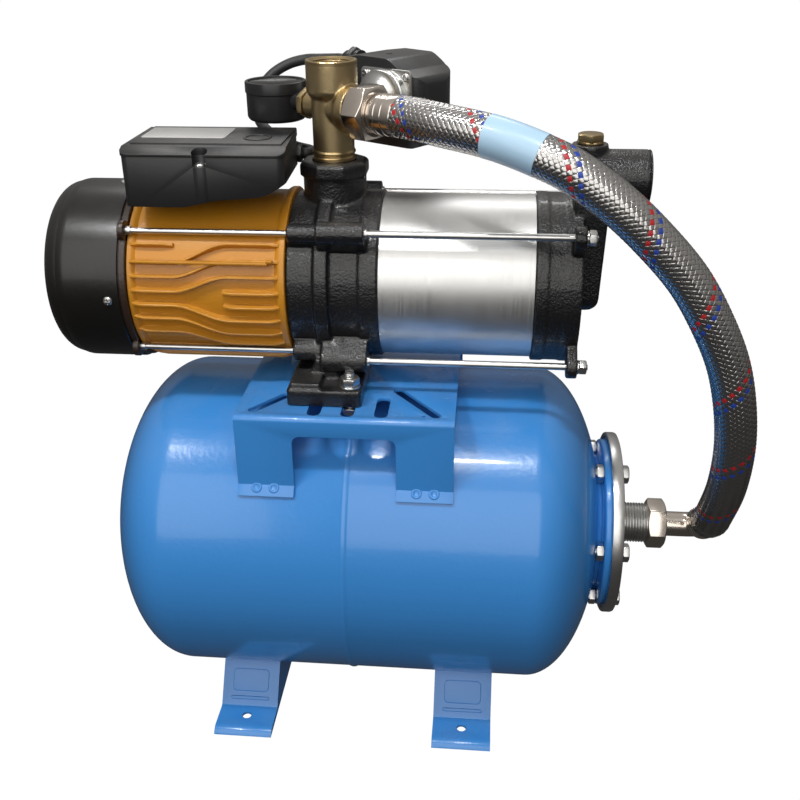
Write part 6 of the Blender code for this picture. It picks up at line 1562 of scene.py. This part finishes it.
cup = turned(((0.0203, 0.0088), (0.0430, 0.0088), (0.0436, 0.0105), (0.0450, 0.0130), (0.0475, 0.0152),
              (0.0490, 0.0180), (0.0494, 0.0196), (0.0500, 0.0199), (0.0520, 0.0199), (0.0524, 0.0188),
              (0.0530, 0.0186), (0.0540, 0.0199), (0.0590, 0.0199)), centre, REAR, 96)
grip = softened(hexagon(beside(0, 0.0203, ARM_Z), REAR, 0.0078, 0.0212), 0.0003)
plate = extruded(rounded(((-0.0258, -0.0198), (0.0238, -0.0198), (0.0238, 0.0198), (-0.0258, 0.0198)),
                         0.0038), "XZ", 0.0591, 0.0614)
plate = softened(to_switch(plate), 0.0006, 2)
posts = []
for x, z in ((-0.0205, 0.0150), (0.0190, 0.0150), (-0.0205, -0.0150), (0.0190, -0.0150)):
    post = turned(((0.0, 0.0030), (-0.0018, 0.0030), (-0.0024, 0.0024), (-0.0025, 0.0)), (x, 0.0593, z),
                  Vector((0, 1, 0)), 32)
    cross = join(block(x - 0.0019, x + 0.0019, 0.0560, 0.0578, z - 0.0004, z + 0.0004),
                 block(x - 0.0004, x + 0.0004, 0.0560, 0.0578, z - 0.0019, z + 0.0019))
    posts.append(to_switch(cut(post, cross)))
piece("diaphragm_flange", together([cup, grip, plate] + posts), ZINC_STEEL, ["switch_flange"])

# %% Switch cover
NEAR = 0.0621
FAR = 0.1175
HOOD_LEFT = -0.0568
HOOD_RIGHT = 0.0285
outline = rounded(((HOOD_LEFT, -0.0378), (HOOD_RIGHT, -0.0378), (HOOD_RIGHT, 0.0130), (0.0120, 0.0180),
                   (-0.0020, 0.0262), (-0.0300, 0.0268), (-0.0510, 0.0240), (HOOD_LEFT, 0.0200)),
                  (0.0060, 0.0080, 0.0075, 0.0090, 0.0120, 0.0150, 0.0060, 0.0045))
plan = rounded(((HOOD_LEFT, NEAR), (HOOD_RIGHT, NEAR), (HOOD_RIGHT, FAR), (HOOD_LEFT, FAR)),
               (0.0050, 0.0130, 0.0250, 0.0080), 12)
cover = extruded(outline, "XZ", NEAR, FAR)
cover = boolean(cover, [extruded(plan, "XY", -0.0400, 0.0300)], "INTERSECT")
cover = softened(cover, 0.0016, 4, 25)
knob = rod((-0.0200, (NEAR + FAR) / 2 - 0.004, 0.0255), Z_AXIS, 0.0014, 0.0026, 24)
cover = together([cover, knob])
entry = Vector((HOOD_LEFT, (NEAR + FAR) / 2, 0.018))
gland = turned(((-0.0040, 0.0083), (0.0058, 0.0083), (0.0064, 0.0070), (0.0100, 0.0068), (0.0130, 0.0058),
                (0.0138, 0.0046)), entry, -X_AXIS, 48)
flange = softened(hexagon(entry, -X_AXIS, 0.0058, 0.0180, 0.0, 0.0006), 0.0003)
ridges = [turned(((0.0068 + 0.0016 * index, 0.0066), (0.0070 + 0.0016 * index, 0.0072),
                  (0.0076 + 0.0016 * index, 0.0072), (0.0078 + 0.0016 * index, 0.0066)), entry, -X_AXIS, 48)
          for index in range(3)]
cover = to_switch(together([cover, gland, flange] + ridges))
piece("switch_hood", cover, SWITCH_PLASTIC, ["switch_cover"])

# %% [markdown]
# ## Hose ends
#
# Nickel-plated nuts hold the hose. The upper end is straight, with a ferrule crimped over the braid. The
# lower end is a bent stub whose ferrule grips the hose from inside its braid.

# %% Hose ends
TANK_END = 0.2505
nut = softened(hexagon(beside(0.0244, 0, ARM_Z), ARM, 0.0176, 0.0352, 0.5, 0.0022), 0.0005, 2)
nut = cut(nut, rod(beside(0.0200, 0, ARM_Z), ARM, 0.030, 0.0109, 48))
lip = turned(((0.0243, 0.0120), (0.0243, 0.0163), (0.0250, 0.0166), (0.0256, 0.0163), (0.0256, 0.0120)),
             centre, ARM, 72, closed=True)
piece("upper_hose_nut", together([nut, lip]), NICKEL_BRASS, ["hose_nut_upper"])
profile = ((0.0244, 0.0106), (0.0424, 0.0106), (0.0424, 0.0126), (0.0444, 0.0127), (0.0450, 0.0133),
           (0.0454, 0.0139), (0.0464, 0.0142), (0.0500, 0.0142), (0.0504, 0.0138), (0.0514, 0.0138),
           (0.0518, 0.0142), (0.0560, 0.0142), (0.0564, 0.0138), (0.0574, 0.0138), (0.0578, 0.0142),
           (0.0628, 0.0142), (0.0638, 0.0140), (0.0643, 0.0135))
tail = turned(profile, centre, ARM, 96)
piece("upper_hose_tail", tail, NICKEL_BRASS, ["hose_tail_upper"], sharp=25)

# %% Lower hose nut
nut_left = TANK_END + 0.0045 - 0.0155
lower = softened(hexagon((nut_left, 0, TANK_Z), X_AXIS, 0.0155, 0.0365, 0.5, 0.0020), 0.0005, 2)
lower = cut(lower, rod((nut_left - 0.001, 0, TANK_Z), X_AXIS, 0.0147, 0.0168, 64),
            rod((nut_left, 0, TANK_Z), X_AXIS, 0.0180, 0.0108, 48))
piece("lower_hose_nut", lower, NICKEL_BRASS, ["hose_nut_lower"])

# %% Bent stub
ELBOW_X = 0.2823
OUT = Vector((0, -math.cos(math.radians(38)), math.sin(math.radians(38))))
elbow = Vector((ELBOW_X, 0, TANK_Z))


def swept(points, radii, sides):
    """Sweep rings of given radii along points, without any twist."""
    tangents = [(points[min(i + 1, len(points) - 1)] - points[max(i - 1, 0)]).normalized()
                for i in range(len(points))]
    frame_turn = basis(tangents[0])
    mesh = bmesh.new()
    rings = []
    for index, (point, radius) in enumerate(zip(points, radii)):
        if index:
            frame_turn = tangents[index - 1].rotation_difference(tangents[index]).to_matrix() @ frame_turn
        ring = []
        for step in range(sides):
            angle = 2 * math.pi * step / sides
            ring.append(mesh.verts.new(point + frame_turn @ Vector((radius * math.cos(angle),
                                                                    radius * math.sin(angle), 0))))
        rings.append(ring)
    for before, after in zip(rings, rings[1:]):
        for step in range(sides):
            following = (step + 1) % sides
            mesh.faces.new((before[step], before[following], after[following], after[step]))
    mesh.faces.new(rings[0])
    mesh.faces.new(rings[-1])
    bmesh.ops.recalc_face_normals(mesh, faces=mesh.faces)
    return mesh


bend = 0.014
path = [Vector((TANK_END + 0.0004, 0, TANK_Z)), Vector((TANK_END + 0.0022, 0, TANK_Z)),
        Vector((TANK_END + 0.0026, 0, TANK_Z)), Vector((TANK_END + 0.010, 0, TANK_Z))]
radii = [0.0149, 0.0149, 0.0104, 0.0104]
begin = elbow - X_AXIS * bend
finish_point = elbow + OUT * bend
for step in range(17):
    share = step / 16
    path.append(begin.lerp(elbow, share).lerp(elbow.lerp(finish_point, share), share))
    radii.append(0.0104)
for reach, radius in ((0.0182, 0.0104), (0.0185, 0.0117), (0.0208, 0.0118), (0.0216, 0.0133),
                      (0.0225, 0.0136), (0.0262, 0.0136), (0.0266, 0.0132), (0.0276, 0.0132),
                      (0.0280, 0.0136), (0.0340, 0.0136), (0.0344, 0.0132), (0.0354, 0.0132),
                      (0.0358, 0.0136), (0.0420, 0.0136), (0.0430, 0.0131)):
    path.append(elbow + OUT * reach)
    radii.append(radius)
piece("hose_bend", swept(path, radii, 64), NICKEL_BRASS, ["hose_elbow"], sharp=28)

# %% [markdown]
# ## Braided hose
#
# The hose runs freely from the fitting's arm to the tank. A smooth curve through the frame's own route
# gives its centreline. Sixteen strands wind to the left and sixteen to the right, each a flat ribbon of
# three wires that goes over one crossing and under the next. One straight strand is repeated round the
# axis by the copies tree, and the whole straight braid is then bent along the centreline.

# %% Hose centreline
HOSE_ROUTE = ((0.0652, -0.0580, 0.4870), (0.1043, -0.0770, 0.4818), (0.1360, -0.0900, 0.4724),
              (0.1513, -0.0950, 0.4659), (0.1783, -0.1000, 0.4480), (0.2011, -0.1020, 0.4283),
              (0.2282, -0.1030, 0.3993), (0.2476, -0.1030, 0.3688), (0.2608, -0.1020, 0.3416),
              (0.2693, -0.1000, 0.3137), (0.2766, -0.0930, 0.2765), (0.2804, -0.0770, 0.2326))


def between(t, low, high, first, last):
    """Return the point at t on the straight way from first, at low, to last, at high."""
    return first * (high - t) / (high - low) + last * (t - low) / (high - low)


def smooth_route(route, spacing):
    """Return evenly spaced points on a smooth curve through a route."""
    points = [Vector(point) for point in route]
    points = [2 * points[0] - points[1]] + points + [2 * points[-1] - points[-2]]
    dense = []
    for index in range(1, len(points) - 2):
        before, first, last, after = points[index - 1:index + 3]
        knots = [0.0]
        for near, far in ((before, first), (first, last), (last, after)):
            knots.append(knots[-1] + math.sqrt((far - near).length))
        for step in range(24):
            t = knots[1] + (knots[2] - knots[1]) * step / 24
            left = between(t, knots[0], knots[1], before, first)
            middle = between(t, knots[1], knots[2], first, last)
            right = between(t, knots[2], knots[3], last, after)
            left = between(t, knots[0], knots[2], left, middle)
            right = between(t, knots[1], knots[3], middle, right)
            dense.append(between(t, knots[1], knots[2], left, right))
    dense.append(points[-2])
    return even(dense, spacing)


def even(dense, spacing):
    """Return points at even distances along a line of points."""
    lengths = [0.0]
    for near, far in zip(dense, dense[1:]):
        lengths.append(lengths[-1] + (far - near).length)
    count = max(2, round(lengths[-1] / spacing))
    made = []
    index = 0
    for step in range(count + 1):
        want = lengths[-1] * step / count
        while index < len(lengths) - 2 and lengths[index + 1] < want:
            index += 1
        span = max(lengths[index + 1] - lengths[index], 1e-9)
        made.append(dense[index].lerp(dense[index + 1], (want - lengths[index]) / span))
    return made


hose_start = beside(0.0646, 0, ARM_Z)
hose_end = elbow + OUT * 0.0433
first = hose_start + ARM * 0.012
last = hose_end + OUT * 0.012
dense = smooth_route([first] + list(HOSE_ROUTE) + [last], 0.002)
hose_line = even([hose_start] + dense + [hose_end], 0.0010)
hose_length = sum((far - near).length for near, far in zip(hose_line, hose_line[1:]))
hose_tangents = [(hose_line[min(i + 1, len(hose_line) - 1)] - hose_line[max(i - 1, 0)]).normalized()
                 for i in range(len(hose_line))]
hose_turns = [basis(hose_tangents[0])]
for near, far in zip(hose_tangents, hose_tangents[1:]):
    hose_turns.append(near.rotation_difference(far).to_matrix() @ hose_turns[-1])
print("hose length: %.3f m" % hose_length)


def bent(mesh):
    """Bend a straight shape, made along X from the start, along the hose's centreline."""
    for vert in mesh.verts:
        place = min(max(vert.co.x, 0.0), hose_length - 1e-6) / hose_length * (len(hose_line) - 1)
        index = min(int(place), len(hose_line) - 2)
        share = place - index
        near = hose_line[index] + hose_turns[index] @ Vector((vert.co.y, vert.co.z, 0))
        far = hose_line[index + 1] + hose_turns[index + 1] @ Vector((vert.co.y, vert.co.z, 0))
        vert.co = near.lerp(far, share)
    return mesh


# %% [markdown]
# ## Braid
#
# A strand is a flat ribbon whose section shows three wires. It winds once round in a fixed pitch and
# moves in and out a little at every crossing. Two of the right-hand strands are coloured tracers, and a
# plain dark core closes the gaps between the strands.

# %% Braid
BRAID_R = 0.01372
CORE_R = 0.0134
CORE_RINGS = 220
STRANDS = 16
BRAID_PITCH = 0.062
WEAVE = 0.00026
RIBBON = 0.00295
BLUE_STRAND = 0
RED_STRAND = 2
WIRES = ((-0.5, 0.0), (-0.333, 0.00028), (-0.167, 0.00006), (0.0, 0.00028), (0.167, 0.00006),
         (0.333, 0.00028), (0.5, 0.0))
slope = math.atan2(2 * math.pi * BRAID_R, BRAID_PITCH)


def strand(hand, height=0.0):
    """Return one straight-laid ribbon of the braid; the hand is 1 or -1."""
    mesh = bmesh.new()
    steps = int(hose_length / (BRAID_PITCH / (2 * STRANDS)) * 4)
    rings = []
    for step in range(steps + 1):
        x = hose_length * step / steps
        angle = 2 * math.pi * x / BRAID_PITCH
        radius = BRAID_R + hand * WEAVE * math.cos(STRANDS * angle) + height
        ring = []
        for wide, high in WIRES:
            across = wide * RIBBON
            spot_x = x + across * math.sin(slope)
            spot_angle = hand * (angle - across * math.cos(slope) / BRAID_R)
            reach = radius + high
            ring.append(mesh.verts.new((spot_x, reach * math.cos(spot_angle),
                                        reach * math.sin(spot_angle))))
        rings.append(ring)
    for before, after in zip(rings, rings[1:]):
        for step in range(len(WIRES) - 1):
            corners = (before[step], before[step + 1], after[step + 1], after[step])
            mesh.faces.new(corners if hand > 0 else corners[::-1])
    return mesh


tube = [(hose_length * step / CORE_RINGS, CORE_R) for step in range(CORE_RINGS + 1)]
core = bent(turned(tube, (0, 0, 0), X_AXIS, 40))
hose_core = piece("hose_core", core, CABLE_RUBBER, ["braided_hose"], sharp=None)
BRAID_STEEL = finish("braid_steel", (0.50, 0.49, 0.48), 0.24, metal=1.0, drift=0.10, drift_scale=90.0,
                     pebble=900.0, depth=0.00002, dust=0.0)
TRACER_RED = finish("tracer_red", (0.42, 0.015, 0.02), 0.45, drift=0.2, pebble=900.0, depth=0.00002,
                    dust=0.0)
TRACER_BLUE = finish("tracer_blue", (0.015, 0.05, 0.34), 0.45, drift=0.2, pebble=900.0, depth=0.00002,
                     dust=0.0)
BAND_BLUE = finish("band_blue", (0.42, 0.62, 0.80), 0.35, coat=0.3, drift=0.05, pebble=500.0, depth=0.00003,
                   dust=0.0)
for name, hand in (("braid_right", 1), ("braid_left", -1)):
    kept = [index for index in range(STRANDS) if hand < 0 or index not in (BLUE_STRAND, RED_STRAND)]
    copies_made = repeated(strand(hand), [((0, 0, 0), 360 / STRANDS * index) for index in kept],
                           BRAID_STEEL)
    piece(name, bent(copies_made), BRAID_STEEL, sharp=None)
for name, index, colour in (("tracer_blue", BLUE_STRAND, TRACER_BLUE),
                            ("tracer_red", RED_STRAND, TRACER_RED)):
    one = repeated(strand(1), [((0, 0, 0), 360 / STRANDS * index)], colour)
    piece(name, bent(one), colour, sharp=None)

# %% [markdown]
# ## Band
#
# A light blue film is wrapped round the hose. It is a thin turned ring, made straight and bent with the
# same function as the braid, and it stays bare.

# %% Band
BAND = (0.070, 0.108)
profile = [(BAND[0], 0.01432)] + [(BAND[0] + (BAND[1] - BAND[0]) * step / 24, 0.01438)
                                  for step in range(25)]
profile += [(BAND[1], 0.01432)]
band = bent(turned([(BAND[0], 0.0139)] + profile + [(BAND[1], 0.0139)], (0, 0, 0), X_AXIS, 64))
piece("bare_band", band, BAND_BLUE, sharp=30)

# %% [markdown]
# ## Switch cable
#
# A black cable leaves the terminal box's gland, climbs behind the gauge and ends in the switch's gland.

# %% Switch cable
CABLE_R = 0.0041
CABLE_ROUTE = ((-0.0393, 0.0190, 0.4505), (-0.0366, 0.0212, 0.4504), (-0.0358, 0.0258, 0.4502),
               (-0.0385, 0.0315, 0.4503), (-0.0465, 0.0350, 0.4512), (-0.0575, 0.0395, 0.4535),
               (-0.0690, 0.0475, 0.4575), (-0.0785, 0.0570, 0.4620), (-0.0855, 0.0690, 0.4675),
               (-0.0890, 0.0830, 0.4760), (-0.0870, 0.0960, 0.4865), (-0.0790, 0.1050, 0.4960),
               (-0.0660, 0.1100, 0.5030), (-0.0520, 0.1110, 0.5062), (-0.0410, 0.1090, 0.5068))
cable_end = beside(-0.0713, 0.0898, ARM_Z + 0.018)
cable_start = Vector((-0.0417, 0.0190, 0.4505))
route = [Vector(point) for point in CABLE_ROUTE] + [cable_end - ARM * 0.006]
cable_line = even([cable_start] + smooth_route(route, 0.002) + [cable_end], 0.0020)
cable = swept(cable_line, [CABLE_R] * len(cable_line), 28)
cable_piece = piece("cable_sheath", cable, CABLE_RUBBER, ["switch_cable"], sharp=None)
